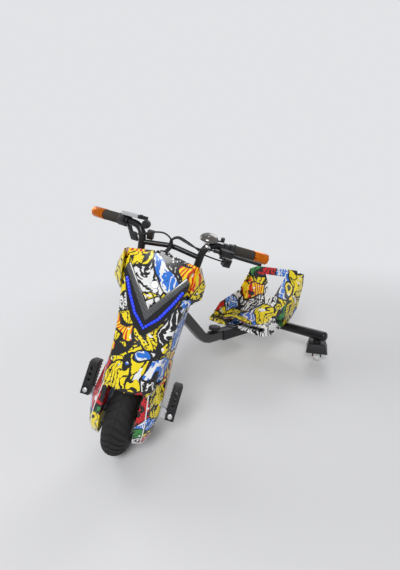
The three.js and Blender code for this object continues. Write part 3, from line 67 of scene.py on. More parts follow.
# ---- Cables
# Thin black outer casings run from the throttle, the brake and the light switch to the middle of
# the dash, where a tie holds them over the sleeve that takes them down into the fairing.
millimetre = 0.001
rake = math.radians(30.5)
turned_left = math.radians(41.5)
axle_spot = (0, -0.39847, 0.12487)
wheel_place = (Matrix.Translation(axle_spot)
               @ Matrix.Rotation(turned_left, 4, (0, math.sin(rake), math.cos(rake)))
               @ Matrix.Scale(millimetre, 4))
elbow = Vector((96, 190.4, 551))
bar_tip = Vector((288, 276, 526))
riser_foot = Vector((87, 172, 442))
bar_along = (bar_tip - elbow).normalized()
bar_front = Vector((bar_along.y, -bar_along.x, 0)).normalized()
bar_up = bar_front.cross(bar_along)
bar_place = Matrix((bar_up, bar_front, bar_along)).transposed().to_4x4()
bar_place.translation = elbow
other_side = Matrix.Scale(-1, 4, (1, 0, 0))
left_bar = wheel_place @ bar_place
right_bar = wheel_place @ other_side @ bar_place


def smooth_route(points, share_steps=10):
    """A curve through every point, evened out by the roots of the distances between them."""
    ends = [points[0] * 2 - points[1], *points, points[-1] * 2 - points[-2]]
    route = []
    for place in range(1, len(ends) - 2):
        a, b, c, d = ends[place - 1:place + 3]
        first, second, third = [max((q - p).length ** 0.5, 1e-4) for p, q in ((a, b), (b, c), (c, d))]
        out = ((b - a) / first - (c - a) / (first + second) + (c - b) / second) * second
        back = ((c - b) / second - (d - b) / (second + third) + (d - c) / third) * second
        for step in range(share_steps):
            t = step / share_steps
            route.append(b * (2 * t ** 3 - 3 * t ** 2 + 1) + out * (t ** 3 - 2 * t ** 2 + t)
                         + c * (3 * t ** 2 - 2 * t ** 3) + back * (t ** 3 - t ** 2))
    return route + [points[-1]]


def finish_of(name, dark, light, roughness, metallic=0.0, grain=400.0, relief=0.15, depth=0.0003, patch=18.0,
              sheen=0.5):
    """A surface finish: two near tones in soft patches, with roughness and a fine relief from its grain."""
    material = bpy.data.materials.new(name)
    material.use_nodes = True
    nodes, links = material.node_tree.nodes, material.node_tree.links
    shader = nodes["Principled BSDF"]
    shader.inputs["Metallic"].default_value = metallic
    shader.inputs["Specular IOR Level"].default_value = sheen
    place = nodes.new("ShaderNodeTexCoord")
    patches = nodes.new("ShaderNodeTexNoise")
    patches.inputs["Scale"].default_value = patch
    patches.inputs["Detail"].default_value = 4
    links.new(place.outputs["Object"], patches.inputs["Vector"])
    tones = nodes.new("ShaderNodeMix")
    tones.data_type = "RGBA"
    tones.inputs[6].default_value = (*dark, 1)
    tones.inputs[7].default_value = (*light, 1)
    links.new(patches.outputs["Fac"], tones.inputs[0])
    links.new(tones.outputs[2], shader.inputs["Base Color"])
    speckle = nodes.new("ShaderNodeTexNoise")
    speckle.inputs["Scale"].default_value = grain
    speckle.inputs["Detail"].default_value = 2
    links.new(place.outputs["Object"], speckle.inputs["Vector"])
    rough = nodes.new("ShaderNodeMapRange")
    rough.inputs["To Min"].default_value = roughness * 0.85
    rough.inputs["To Max"].default_value = min(roughness * 1.25, 1)
    links.new(patches.outputs["Fac"], rough.inputs["Value"])
    links.new(rough.outputs["Result"], shader.inputs["Roughness"])
    bump = nodes.new("ShaderNodeBump")
    bump.inputs["Strength"].default_value = relief
    bump.inputs["Distance"].default_value = depth
    links.new(speckle.outputs["Fac"], bump.inputs["Height"])
    links.new(bump.outputs["Normal"], shader.inputs["Normal"])
    return material


cable_skin = finish_of("cable_casing", (0.010, 0.010, 0.011), (0.022, 0.022, 0.024), 0.42, grain=1500,
                       sheen=0.3)
cable_diameter = 0.005
tie_middle = Vector((0, 168, 532))
tie_reach = 3.2
straight_end = 8


def cable(name, bar, start, leads, into):
    """One casing from its fitting to the tie, held at both ends and straight for a short way there."""
    first = bar @ Vector(start)
    second = bar @ Vector((start[0], start[1], start[2] - straight_end))
    in_tie = tie_middle + Vector((tie_reach * math.cos(into), tie_reach * math.sin(into), 0.8))
    foot = wheel_place @ in_tie
    neck = wheel_place @ (in_tie + Vector((0, 0, straight_end)))
    route = smooth_route([first, second, *[wheel_place @ Vector(p) for p in leads], neck, foot])
    line = bpy.data.curves.new(name, "CURVE")
    line.dimensions = "3D"
    line.bevel_depth = cable_diameter / 2
    line.bevel_resolution = 3
    line.use_fill_caps = True
    spline = line.splines.new("POLY")
    spline.points.add(len(route) - 1)
    for point, spot in zip(spline.points, route):
        point.co = (*spot, 1)
    line.materials.append(cable_skin)
    piece = bpy.data.objects.new(name, line)
    bpy.context.collection.objects.link(piece)
    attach(piece, "steering")
    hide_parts(name)
    piece.name = name + "_casing"


cable("cable_throttle", right_bar, (-6, 19, 57.8),
      [(-120, 150, 536), (-90, 145, 537), (-55, 150, 552), (-22, 160, 555)], math.pi * 7 / 6)
cable("cable_brake", left_bar, (-12, 18, 27.8),
      [(108, 158, 544), (88, 151, 541), (64, 150, 544), (40, 154, 549), (18, 162, 551)], -math.pi / 6)
cable("cable_switch", left_bar, (-43, 0, 77.7),
      [(114, 202, 508), (96, 205, 510), (76, 199, 522), (45, 187, 540), (16, 178, 550)], math.pi / 2)


# ---- Front tyre
# A wide black pneumatic tyre for a small motor wheel, moulded in rubber with slanting blocks that
# meet in a V at the middle of the tread. It turns with the motor inside it.
def shape_mesh(name, points, faces, place):
    """A mesh in the row frame, with its faces turned outwards."""
    mesh = bpy.data.meshes.new(name)
    mesh.from_pydata([place @ Vector(point) for point in points], [], faces)
    work = bmesh.new()
    work.from_mesh(mesh)
    bmesh.ops.recalc_face_normals(work, faces=work.faces)
    work.to_mesh(mesh)
    work.free()
    return mesh


def turned(name, profile, sides, place, closed=False):
    """A round mesh about Z from a profile of radius and height; ends on the axis are closed."""
    points = []
    faces = []
    rings = []
    for radius, height in profile:
        if radius < 1e-6:
            rings.append([len(points)])
            points.append((0, 0, height))
            continue
        rings.append(list(range(len(points), len(points) + sides)))
        for side in range(sides):
            angle = side / sides * math.tau
            points.append((radius * math.cos(angle), radius * math.sin(angle), height))
    pairs = list(zip(rings, rings[1:]))
    if closed:
        pairs.append((rings[-1], rings[0]))
    for low, high in pairs:
        for side in range(sides):
            after = (side + 1) % sides
            corners = [low[side % len(low)], low[after % len(low)],
                       high[after % len(high)], high[side % len(high)]]
            faces.append(list(dict.fromkeys(corners)))
    return shape_mesh(name, points, faces, place)


def fitted(name, mesh, material, body, slot, *nodes, crease=34):
    """Puts a mesh on its body, smooth but for its sharp edges, in place of the nodes named."""
    mesh.materials.append(material)
    mesh.shade_smooth()
    mesh.set_sharp_from_angle(angle=math.radians(crease))
    piece = bpy.data.objects.new(name, mesh)
    bpy.context.collection.objects.link(piece)
    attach(piece, body)
    if nodes:
        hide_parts(*nodes)
    return piece


def turned_piece(name, profile, sides, place, material, body, slot, *nodes, closed=False):
    """A round piece about Z, put on its body in place of the nodes named."""
    return fitted(name, turned(name, profile, sides, place, closed), material, body, slot, *nodes)


def row_tree():
    """Sets one stamp at even steps along a path, its X along the path and its Z outwards."""
    tree = bpy.data.node_groups.new("row_along_path", "GeometryNodeTree")
    tree.interface.new_socket("Path", in_out="INPUT", socket_type="NodeSocketGeometry")
    tree.interface.new_socket("Stamp", in_out="INPUT", socket_type="NodeSocketObject")
    tree.interface.new_socket("Spacing", in_out="INPUT", socket_type="NodeSocketFloat")
    tree.interface.new_socket("Finish", in_out="INPUT", socket_type="NodeSocketMaterial")
    tree.interface.new_socket("Row", in_out="OUTPUT", socket_type="NodeSocketGeometry")
    add = tree.nodes.new
    given = add("NodeGroupInput")
    curve = add("GeometryNodeMeshToCurve")
    even = add("GeometryNodeResampleCurve")
    even.mode = "LENGTH"
    tangent = add("GeometryNodeInputTangent")
    outward = add("GeometryNodeInputNamedAttribute")
    outward.data_type = "FLOAT_VECTOR"
    outward.inputs["Name"].default_value = "outward"
    lift = add("FunctionNodeAlignRotationToVector")
    lift.axis = "Z"
    turn = add("FunctionNodeAlignRotationToVector")
    turn.axis = "X"
    turn.pivot_axis = "Z"
    stamp = add("GeometryNodeObjectInfo")
    stamps = add("GeometryNodeInstanceOnPoints")
    real = add("GeometryNodeRealizeInstances")
    coat = add("GeometryNodeSetMaterial")
    result = add("NodeGroupOutput")
    link = tree.links.new
    link(given.outputs["Path"], curve.inputs["Mesh"])
    link(curve.outputs["Curve"], even.inputs["Curve"])
    link(given.outputs["Spacing"], even.inputs["Length"])
    link(outward.outputs["Attribute"], lift.inputs["Vector"])
    link(lift.outputs["Rotation"], turn.inputs["Rotation"])
    link(tangent.outputs["Tangent"], turn.inputs["Vector"])
    link(given.outputs["Stamp"], stamp.inputs["Object"])
    link(even.outputs["Curve"], stamps.inputs["Points"])
    link(stamp.outputs["Geometry"], stamps.inputs["Instance"])
    link(turn.outputs["Rotation"], stamps.inputs["Rotation"])
    link(stamps.outputs["Instances"], real.inputs["Geometry"])
    link(real.outputs["Geometry"], coat.inputs["Geometry"])
    link(given.outputs["Finish"], coat.inputs["Material"])
    link(coat.outputs["Geometry"], result.inputs["Row"])
    return tree


rows = row_tree()


def row_of(name, path, outward, stamp, count, place, material, loop=False):
    """A mesh of stamps, all in millimetres, along a path given by its points and outward directions."""
    steps = list(zip(path, path[1:] + path[:1])) if loop else list(zip(path, path[1:]))
    length = sum((Vector(q) - Vector(p)).length for p, q in steps)
    line = bpy.data.meshes.new(name + "_path")
    edges = [(i, (i + 1) % len(path)) for i in range(len(steps))]
    line.from_pydata([Vector(p) for p in path], edges, [])
    ways = line.attributes.new("outward", "FLOAT_VECTOR", "POINT")
    for place_at, way in enumerate(outward):
        ways.data[place_at].vector = way
    carrier = bpy.data.objects.new(name + "_path", line)
    bpy.context.collection.objects.link(carrier)
    pattern = bpy.data.objects.new(name + "_stamp", stamp)
    row = carrier.modifiers.new("row", "NODES")
    row.node_group = rows
    sockets = {item.name: item.identifier for item in rows.interface.items_tree}
    row[sockets["Stamp"]] = pattern
    row[sockets["Spacing"]] = length / (count if loop else count - 1) * 0.99999
    row[sockets["Finish"]] = material
    bpy.context.view_layer.update()
    graph = bpy.context.evaluated_depsgraph_get()
    mesh = bpy.data.meshes.new_from_object(carrier.evaluated_get(graph))
    mesh.transform(place)
    if place.determinant() < 0:
        mesh.flip_normals()
    bpy.data.objects.remove(carrier)
    bpy.data.objects.remove(pattern)
    mesh.name = name
    return mesh


tyre_rubber = finish_of("tyre_rubber", (0.011, 0.011, 0.012), (0.026, 0.025, 0.025), 0.72, grain=700,
                        relief=0.3, sheen=0.25)
tyre_ring, tyre_swell, bead_radius = 88, 42, 81
rim_radius, rim_half = 76, 34
groove_depth = 2.4
across_axle = wheel_place @ Matrix.Rotation(math.pi / 2, 4, "Y")
bead = math.acos((bead_radius - tyre_ring) / tyre_swell)
section = []
for step in range(33):
    angle = bead * (step / 16 - 1)
    under_tread = max(0, min(1, (math.cos(angle) - 0.3) / 0.1))
    swell = tyre_swell - groove_depth * under_tread
    section.append((tyre_ring + swell * math.cos(angle), swell * math.sin(angle)))
section += [(rim_radius, rim_half), (rim_radius, -rim_half)]
turned_piece("tyre_carcass", section, 96, across_axle, tyre_rubber, "front_wheel", "tyre_rubber", "front_tyre",
             closed=True)
tread_pitches = 34
tread_sweep = math.radians(13)
block_foot, block_top, shoulder_drop = 38.6, 41.95, 0.9
block_steps = 8
block_points = []
block_faces = []
for way in (-1, 1):
    start = len(block_points)
    for step in range(block_steps + 1):
        share = step / block_steps
        round_section = math.radians(3.5 + 62 * share)
        trail = tread_sweep * share ** 1.15 + (math.radians(1.2) if way > 0 else 0)
        half = math.radians(3.6 - 0.7 * share)
        for swell in (block_foot, block_top - (shoulder_drop if step == block_steps else 0)):
            reach = tyre_ring + swell * math.cos(round_section)
            for edge in (-half, half):
                block_points.append((reach * math.sin(trail + edge), way * swell * math.sin(round_section),
                                     reach * math.cos(trail + edge)))
    for step in range(block_steps):
        low = start + step * 4
        high = low + 4
        for a, b in ((0, 1), (1, 3), (3, 2), (2, 0)):
            block_faces.append((low + a, low + b, high + b, high + a))
    last = start + block_steps * 4
    block_faces += [(start, start + 2, start + 3, start + 1), (last, last + 1, last + 3, last + 2)]
tread_block = shape_mesh("tread_block", block_points, block_faces, Matrix.Identity(4))
# The path is a tiny circle round the axle, because a pair of blocks is drawn at its full radius.
path_radius = 0.01
circle = [i / (tread_pitches * 2) * math.tau for i in range(tread_pitches * 2)]
tread = row_of("tyre_tread", [(0, path_radius * math.cos(a), path_radius * math.sin(a)) for a in circle],
               [(0, math.cos(a), math.sin(a)) for a in circle], tread_block, tread_pitches, wheel_place,
               tyre_rubber, loop=True)
fitted("tyre_tread", tread, tyre_rubber, "front_wheel", "tyre_rubber", crease=30)


# ---- Hub motor
# A cast aluminium motor shell, painted dark, fills the tyre. Its side covers are held by a ring
# of small screws, and its hollow axle passes through.
motor_paint = finish_of("motor_paint", (0.030, 0.031, 0.034), (0.052, 0.053, 0.057), 0.38, 0.6, grain=900)
bright_steel = finish_of("bright_steel", (0.50, 0.50, 0.51), (0.64, 0.64, 0.65), 0.28, 1.0, grain=1400,
                         relief=0.05)
half_motor = [(75.7, 31), (74, 33), (68, 33), (66, 31.5), (61.5, 31.5), (60, 33), (60, 37), (58.5, 38.2),
              (40, 38.2), (38, 37), (26, 37), (23.5, 38.2), (22, 40), (22, 45), (21, 46), (8.4, 46)]
motor_profile = [(r, -h) for r, h in reversed(half_motor)] + half_motor
turned_piece("motor_shell", motor_profile, 72, across_axle, motor_paint, "front_wheel", "hub_alloy", "hub_motor",
             closed=True)


def screw_head(radius, height, recess=0.45):
    """A pan head with a hex recess, standing on Z = 0."""
    profile = [(0, height * 0.45), (radius * recess, height * 0.45), (radius * recess, height * 0.97),
               (radius * 0.75, height), (radius, height * 0.7), (radius, -0.4), (0, -0.4)]
    return turned("screw_head", profile, 12, Matrix.Identity(4))


both_sides = ((1, "left"), (-1, "right"))
screw_circle, screw_seat, screw_count = 50, 37.9, 8
spots = [i / 48 * math.tau for i in range(48)]
for side, label in both_sides:
    ring = [(side * screw_seat, screw_circle * math.cos(a), screw_circle * math.sin(a)) for a in spots]
    screws = row_of("motor_screws_" + label, ring, [(side, 0, 0)] * len(ring), screw_head(3, 1.8), screw_count,
                    wheel_place, bright_steel, loop=True)
    fitted("motor_screws_" + label, screws, bright_steel, "front_wheel", "axle_steel")


# ---- Axle, fork and battery
# Hidden under the covers: flat steel fork legs and a crown with the steerer, a plated axle with
# nuts, and the plain wrapped battery block behind the face.
def dress(node, material):
    """Gives a node that keeps its shape its finish."""
    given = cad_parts[node]
    if not given.material_slots:
        given.data.materials.append(material)
    given.material_slots[0].material = material


black_enamel = finish_of("black_enamel", (0.007, 0.007, 0.008), (0.013, 0.013, 0.015), 0.24, grain=120,
                         relief=0.06, sheen=0.3)
battery_wrap = finish_of("battery_wrap", (0.02, 0.02, 0.022), (0.035, 0.035, 0.04), 0.5, grain=200,
                         relief=0.2)
dress("front_axle", bright_steel)
dress("battery_pack", battery_wrap)
for node in ("fork_leg_left", "fork_leg_right", "fork_crown", "top_clamp"):
    dress(node, black_enamel)


# ---- Fairing shell
# One glossy ABS moulding with a printed film: a blunt V face, flat flanks that run back to the
# rear cover, and a sloping dash on top. Its folds are rounded and its free edges are white.
def printed_film(name, scale, start):
    """Bright patches with dark outlines: brush strokes, flames and dots in a comic manner."""
    material = bpy.data.materials.new(name)
    material.use_nodes = True
    nodes, links = material.node_tree.nodes, material.node_tree.links
    shader = nodes["Principled BSDF"]
    shader.inputs["Coat Weight"].default_value = 0.25
    shader.inputs["Coat Roughness"].default_value = 0.08
    shader.inputs["Specular IOR Level"].default_value = 0.35
    place = nodes.new("ShaderNodeTexCoord")

    def node(kind, **values):
        made = nodes.new(kind)
        for key, value in values.items():
            made.inputs[key].default_value = value
        return made

    def maths(operation, first, second):
        made = nodes.new("ShaderNodeMath")
        made.operation = operation
        for socket, value in zip(made.inputs, (first, second)):
            if isinstance(value, (int, float)):
                socket.default_value = value
            else:
                links.new(value, socket)
        return made.outputs[0]

    def mix(share, under, over):
        made = nodes.new("ShaderNodeMix")
        made.data_type = "RGBA"
        links.new(share, made.inputs[0])
        for socket, value in ((made.inputs[6], under), (made.inputs[7], over)):
            if isinstance(value, tuple):
                socket.default_value = (*value, 1)
            else:
                links.new(value, socket)
        return made.outputs[2]

    def ramp(value, stops):
        made = nodes.new("ShaderNodeValToRGB")
        made.color_ramp.interpolation = "CONSTANT"
        bands = made.color_ramp.elements
        for place_at, (position, colour) in enumerate(stops):
            band = bands[place_at] if place_at < 2 else bands.new(position)
            band.position = position
            band.color = (*colour, 1)
        links.new(value, made.inputs["Fac"])
        return made.outputs["Color"]

    sized = nodes.new("ShaderNodeMapping")
    sized.inputs["Location"].default_value = start
    sized.inputs["Scale"].default_value = (scale, scale, scale)
    links.new(place.outputs["Object"], sized.inputs["Vector"])
    wander = node("ShaderNodeTexNoise", Scale=11.0, Detail=1.5)
    links.new(sized.outputs["Vector"], wander.inputs["Vector"])
    spread = nodes.new("ShaderNodeVectorMath")
    spread.operation = "MULTIPLY_ADD"
    spread.inputs[1].default_value = (0.11, 0.11, 0.11)
    links.new(wander.outputs["Color"], spread.inputs[0])
    links.new(sized.outputs["Vector"], spread.inputs[2])
    warped = spread.outputs["Vector"]

    patches_per_metre = 15.0
    patches = node("ShaderNodeTexVoronoi", Scale=patches_per_metre, Randomness=1.0)
    links.new(warped, patches.inputs["Vector"])
    borders = node("ShaderNodeTexVoronoi", Scale=patches_per_metre, Randomness=1.0)
    borders.feature = "DISTANCE_TO_EDGE"
    links.new(warped, borders.inputs["Vector"])
    split = nodes.new("ShaderNodeSeparateColor")
    links.new(patches.outputs["Color"], split.inputs["Color"])
    pick, kind = split.outputs["Red"], split.outputs["Green"]

    yellow, red, blue = (0.90, 0.71, 0.010), (0.60, 0.010, 0.016), (0.022, 0.17, 0.66)
    orange, white = (0.90, 0.27, 0.012), (0.84, 0.84, 0.83)
    green, black = (0.03, 0.24, 0.045), (0.006, 0.006, 0.008)
    red_from, blue_from, white_from, orange_from, green_from, black_from = 0.27, 0.43, 0.62, 0.76, 0.88, 0.94
    ground = ramp(pick, [(0.0, yellow), (red_from, red), (blue_from, blue), (white_from, white),
                         (orange_from, orange), (green_from, green), (black_from, black)])
    strokes_colour = ramp(pick, [(0.0, black), (blue_from, white), (white_from, black), (orange_from, red),
                                 (green_from, black), (black_from, white)])

    brush = node("ShaderNodeTexWave", Scale=17.0, Distortion=9.0, Detail=2.5)
    brush.inputs["Detail Scale"].default_value = 2.2
    links.new(warped, brush.inputs["Vector"])
    strokes = maths("GREATER_THAN", brush.outputs["Fac"], 0.84)
    painted = mix(strokes, ground, strokes_colour)

    dots = node("ShaderNodeTexVoronoi", Scale=130.0, Randomness=0.15)
    links.new(sized.outputs["Vector"], dots.inputs["Vector"])
    small = maths("LESS_THAN", dots.outputs["Distance"], 0.32)
    dotted = maths("MULTIPLY", small, maths("GREATER_THAN", kind, 0.72))
    painted = mix(dotted, painted, strokes_colour)

    flame = node("ShaderNodeTexWave", Scale=30.0, Distortion=5.0, Detail=1.0)
    links.new(warped, flame.inputs["Vector"])
    tongues = ramp(flame.outputs["Fac"], [(0.0, red), (0.25, orange), (0.62, yellow)])
    flaming = maths("MULTIPLY", maths("GREATER_THAN", pick, orange_from), maths("LESS_THAN", pick, green_from))
    painted = mix(flaming, painted, tongues)

    splash = node("ShaderNodeTexNoise", Scale=34.0, Detail=3.0)
    links.new(warped, splash.inputs["Vector"])
    painted = mix(maths("GREATER_THAN", splash.outputs["Fac"], 0.65), painted, black)
    painted = mix(maths("LESS_THAN", splash.outputs["Fac"], 0.36), painted, white)
    painted = mix(maths("LESS_THAN", borders.outputs["Distance"], 0.035), painted, black)
    links.new(painted, shader.inputs["Base Color"])

    haze = node("ShaderNodeTexNoise", Scale=40.0, Detail=3.0)
    links.new(place.outputs["Object"], haze.inputs["Vector"])
    rough = node("ShaderNodeMapRange")
    rough.inputs["To Min"].default_value = 0.2
    rough.inputs["To Max"].default_value = 0.36
    links.new(haze.outputs["Fac"], rough.inputs["Value"])
    links.new(rough.outputs["Result"], shader.inputs["Roughness"])
    ripple = node("ShaderNodeBump", Strength=0.08, Distance=0.0005)
    links.new(haze.outputs["Fac"], ripple.inputs["Height"])
    links.new(ripple.outputs["Normal"], shader.inputs["Normal"])
    return material


film = printed_film("printed_film", 0.95, (0.37, 0.21, 0.11))
white_edge = finish_of("white_edge", (0.62, 0.63, 0.64), (0.78, 0.78, 0.78), 0.3, grain=300, relief=0.05)


def arc(before, corner, after, steps):
    """Points round a corner, with both of its ends."""
    return [before.lerp(corner, s / steps).lerp(corner.lerp(after, s / steps), s / steps)
            for s in range(steps + 1)]


def rounded(points, rounds, steps=5, runs=4):
    """Points along a line of straight runs with its inner corners rounded, always the same count."""
    line = []
    last = points[0]
    for place_at in range(1, len(points)):
        corner = points[place_at]
        inner = place_at < len(points) - 1
        reach = rounds[place_at - 1] if inner else 0
        arriving = points[place_at - 1] - corner
        before = corner + arriving.normalized() * min(reach, arriving.length * 0.45)
        line += [last.lerp(before, run / runs) for run in range(runs)]
        last = before
        if inner:
            leaving = points[place_at + 1] - corner
            after = corner + leaving.normalized() * min(reach, leaving.length * 0.45)
            line += arc(before, corner, after, steps)[:-1]
            last = after
    return line + [last]


def eased(table, share):
    """A row of a table of shares at any height, with even slopes between its own rows."""
    place_at = max(i for i in range(len(table) - 1) if table[i][0] <= share or i == 0)
    a, b = table[place_at], table[place_at + 1]
    span = b[0] - a[0]
    t = min(max((share - a[0]) / span, 0), 1)
    row = []
    for column in range(1, len(a)):
        slope = (b[column] - a[column]) / span
        before = table[place_at - 1] if place_at else None
        after = table[place_at + 2] if place_at + 2 < len(table) else None
        first = ((a[column] - before[column]) / (a[0] - before[0]) + slope) / 2 if before else slope
        second = ((after[column] - b[column]) / (after[0] - b[0]) + slope) / 2 if after else slope
        row.append(a[column] * (2 * t ** 3 - 3 * t ** 2 + 1) + first * span * (t ** 3 - 2 * t ** 2 + t)
                   + b[column] * (3 * t ** 2 - 2 * t ** 3) + second * span * (t ** 3 - t ** 2))
    return row


def round_folds(work, degrees, radius, segments):
    """Rounds the edges at which two faces turn by more than an angle."""
    folds = [edge for edge in work.edges
             if len(edge.link_faces) == 2 and edge.calc_face_angle() > math.radians(degrees)]
    bmesh.ops.bevel(work, geom=folds, offset=radius, segments=segments, profile=0.5, affect="EDGES",
                    clamp_overlap=True)


def moulded_wall(piece):
    """Gives an open moulding its wall, inwards from its outer face, with white cut edges."""
    piece.data.materials.append(white_edge)
    wall = piece.modifiers.new("wall", "SOLIDIFY")
    wall.thickness = 0.003
    wall.offset = -1
    wall.material_offset_rim = 1


shell_shares = [
    (0, 0, 0.625, 0.073, 0.866, 0.389, 0.848), (0.113, 0.087, 0.643, 0.073, 0.875, 0.52, 0.857),
    (0.267, 0.207, 0.679, 0.073, 0.893, 0.6, 0.875), (0.424, 0.353, 0.75, 0.044, 0.902, 0.618, 0.893),
    (0.602, 0.447, 0.839, 0.036, 0.929, 0.622, 0.929), (0.756, 0.531, 0.893, 0.029, 1, 0.702, 1),
    (1, 0.662, 0.964, 0.029, 1, 0.818, 1)]
shell_bottom, shell_height, shell_front, shell_depth, shell_half = 156, 389, -75, 275, 112
shell_back, cover_gap = 200, 28
dash_ridge, dash_fall, dash_half = 502.5, 18, 117


def shell_ring(share):
    """The shell's section at one height, from the left rear edge round the face to the right."""
    face, corner_x, corner_back, shoulder_x, shoulder_y, back_x = eased(shell_shares, share)
    height = shell_bottom + share * shell_height
    front = shell_front + face * shell_depth
    back = min(height * math.tan(rake) - cover_gap / math.cos(rake), shell_back)
    left = [Vector((back_x * shell_half, back, height)),
            Vector((shoulder_x * shell_half, shell_front + shoulder_y * shell_depth, height)),
            Vector((corner_x * shell_half, front + corner_back * shell_depth, height))]
    right = [Vector((-p.x, p.y, p.z)) for p in reversed(left)]
    return rounded([*left, Vector((0, front, height)), *right], [22, 13, 24, 13, 22], steps=6, runs=5)


def dash_height(x):
    """How high the dash is along the steering axis: two slopes that meet in a ridge."""
    return dash_ridge - dash_fall * abs(x) / dash_half


def over_dash(point):
    """How far a point is above the dash."""
    return point.y * math.sin(rake) + point.z * math.cos(rake) - dash_height(point.x)


fine_steps, levels, lid_steps = 160, 30, 12
fine = [shell_ring(step / fine_steps) for step in range(fine_steps + 1)]
columns = len(fine[0])
shell_points = []
tops = []
for column in range(columns):
    top = next((s for s in range(fine_steps + 1) if over_dash(fine[s][column]) > 0), fine_steps)
    low, high = over_dash(fine[top - 1][column]), over_dash(fine[top][column])
    tops.append(top - 1 + (low / (low - high) if high > 0 else 1))
for step in range(levels + 1):
    for column in range(columns):
        at = tops[column] * step / levels
        base = min(int(at), fine_steps - 1)
        shell_points.append(fine[base][column].lerp(fine[base + 1][column], at - base))
shell_faces = [(r * columns + c, r * columns + c + 1, (r + 1) * columns + c + 1, (r + 1) * columns + c)
               for r in range(levels) for c in range(columns - 1)]
rim = levels * columns
half_columns = columns // 2
lid = []
for column in range(half_columns):
    left, right = shell_points[rim + column], shell_points[rim + columns - 1 - column]
    row = [rim + column]
    for step in range(1, lid_steps):
        spot = left.lerp(right, step / lid_steps)
        spot.z = (dash_height(spot.x) - spot.y * math.sin(rake)) / math.cos(rake)
        row.append(len(shell_points))
        shell_points.append(spot)
    lid.append(row + [rim + columns - 1 - column])
for first, second in zip(lid, lid[1:]):
    shell_faces += [(first[i], second[i], second[i + 1], first[i + 1]) for i in range(lid_steps)]
nose = rim + half_columns
shell_faces += [(lid[-1][i], nose, lid[-1][i + 1]) for i in range(lid_steps)]
shell = shape_mesh("fairing_shell", shell_points, shell_faces, wheel_place)
work = bmesh.new()
work.from_mesh(shell)
round_folds(work, 35, 0.004, 3)
# The shell is open behind, so the face nearest the camera tells which way is outwards.
nearest = min(work.faces, key=lambda face: (face.calc_center_median() - camera_spot).length)
if nearest.normal.dot(camera_spot - nearest.calc_center_median()) < 0:
    bmesh.ops.reverse_faces(work, faces=work.faces)
work.to_mesh(shell)
work.free()
moulded_wall(fitted("fairing_shell", shell, film, "steering", "printed_plastic", "front_shell", crease=50))


# ---- Rear cover of the fairing
# A flat black moulding closes the fairing behind the battery, with a raised border, cooling
# louvres, a charging socket cap and screws along its sides.
def softened(node, radius, segments=2, folds=25):
    """The node's own shape with its sharp edges rounded."""
    work = bmesh.new()
    work.from_mesh(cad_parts[node].data)
    bmesh.ops.remove_doubles(work, verts=work.verts, dist=2e-5)
    bmesh.ops.dissolve_limit(work, angle_limit=math.radians(2), verts=work.verts, edges=work.edges)
    round_folds(work, folds, radius, segments)
    mesh = bpy.data.meshes.new(node)
    work.to_mesh(mesh)
    work.free()
    return mesh


def softened_piece(name, node, radius, material, body, slot, segments=2, folds=25, crease=34):
    """The node's own shape with rounded edges and its finish, in place of the node."""
    return fitted(name, softened(node, radius, segments, folds), material, body, slot, node, crease=crease)


black_abs = finish_of("black_abs", (0.012, 0.012, 0.013), (0.022, 0.022, 0.024), 0.45, grain=1100,
                      relief=0.25, sheen=0.3)
fork_place = wheel_place @ Matrix.Rotation(-rake, 4, "X")
softened_piece("rear_cover", "back_cover", 0.0012, black_abs, "steering", "black_plastic")


def box_mesh(name, low, high, place, round_by):
    """A block between two corners, in the given frame, with rounded edges."""
    corners = [(x, y, z) for x in (low[0], high[0]) for y in (low[1], high[1]) for z in (low[2], high[2])]
    faces = [(0, 1, 3, 2), (4, 6, 7, 5), (0, 4, 5, 1), (2, 3, 7, 6), (0, 2, 6, 4), (1, 5, 7, 3)]
    work = bmesh.new()
    for corner in corners:
        work.verts.new(corner)
    work.verts.ensure_lookup_table()
    for face in faces:
        work.faces.new([work.verts[i] for i in face])
    bmesh.ops.bevel(work, geom=work.edges[:], offset=round_by, segments=2, profile=0.5, affect="EDGES")
    bmesh.ops.recalc_face_normals(work, faces=work.faces)
    mesh = bpy.data.meshes.new(name)
    work.to_mesh(mesh)
    work.free()
    mesh.transform(place)
    return mesh


def joined(name, *meshes):
    """Several meshes as one."""
    work = bmesh.new()
    for mesh in meshes:
        work.from_mesh(mesh)
    whole = bpy.data.meshes.new(name)
    work.to_mesh(whole)
    work.free()
    return whole


cover_face = -23.7
louvre = box_mesh("louvre", (-4, -34, -1.5), (4, 34, 2.2), Matrix.Identity(4), 1.4)
louvres = row_of("louvres", [(0, cover_face, 300), (0, cover_face, 372)], [(0, 1, 0)] * 2, louvre, 6,
                 fork_place, black_abs)
border_bars = ((-90, -86, 205, 440), (86, 90, 205, 440), (-90, 90, 201, 205), (-90, 90, 440, 444))
border = joined("border", *[
    box_mesh("rib", (left, cover_face - 1, low), (right, cover_face + 2, high), fork_place, 1.2)
    for left, right, low, high in border_bars])
socket_place = fork_place @ Matrix.Translation((-48, cover_face, 240)) @ Matrix.Rotation(-math.pi / 2, 4, "X")
socket_profile = [(0, 4), (9, 4), (10, 3), (10, 1.6), (13, 1.4), (13, -1), (0, -1)]
socket = turned("socket_cap", socket_profile, 32, socket_place)
fitted("rear_cover_ribs", joined("rear_cover_ribs", louvres, border, socket), black_abs, "steering",
       "black_plastic")
for side, label in both_sides:
    screws = row_of("cover_screws_" + label, [(side * 93, cover_face, 215), (side * 93, cover_face, 435)],
                    [(0, 1, 0)] * 2, screw_head(2.6, 1.8), 4, fork_place, bright_steel)
    fitted("cover_screws_" + label, screws, bright_steel, "steering", "axle_steel")


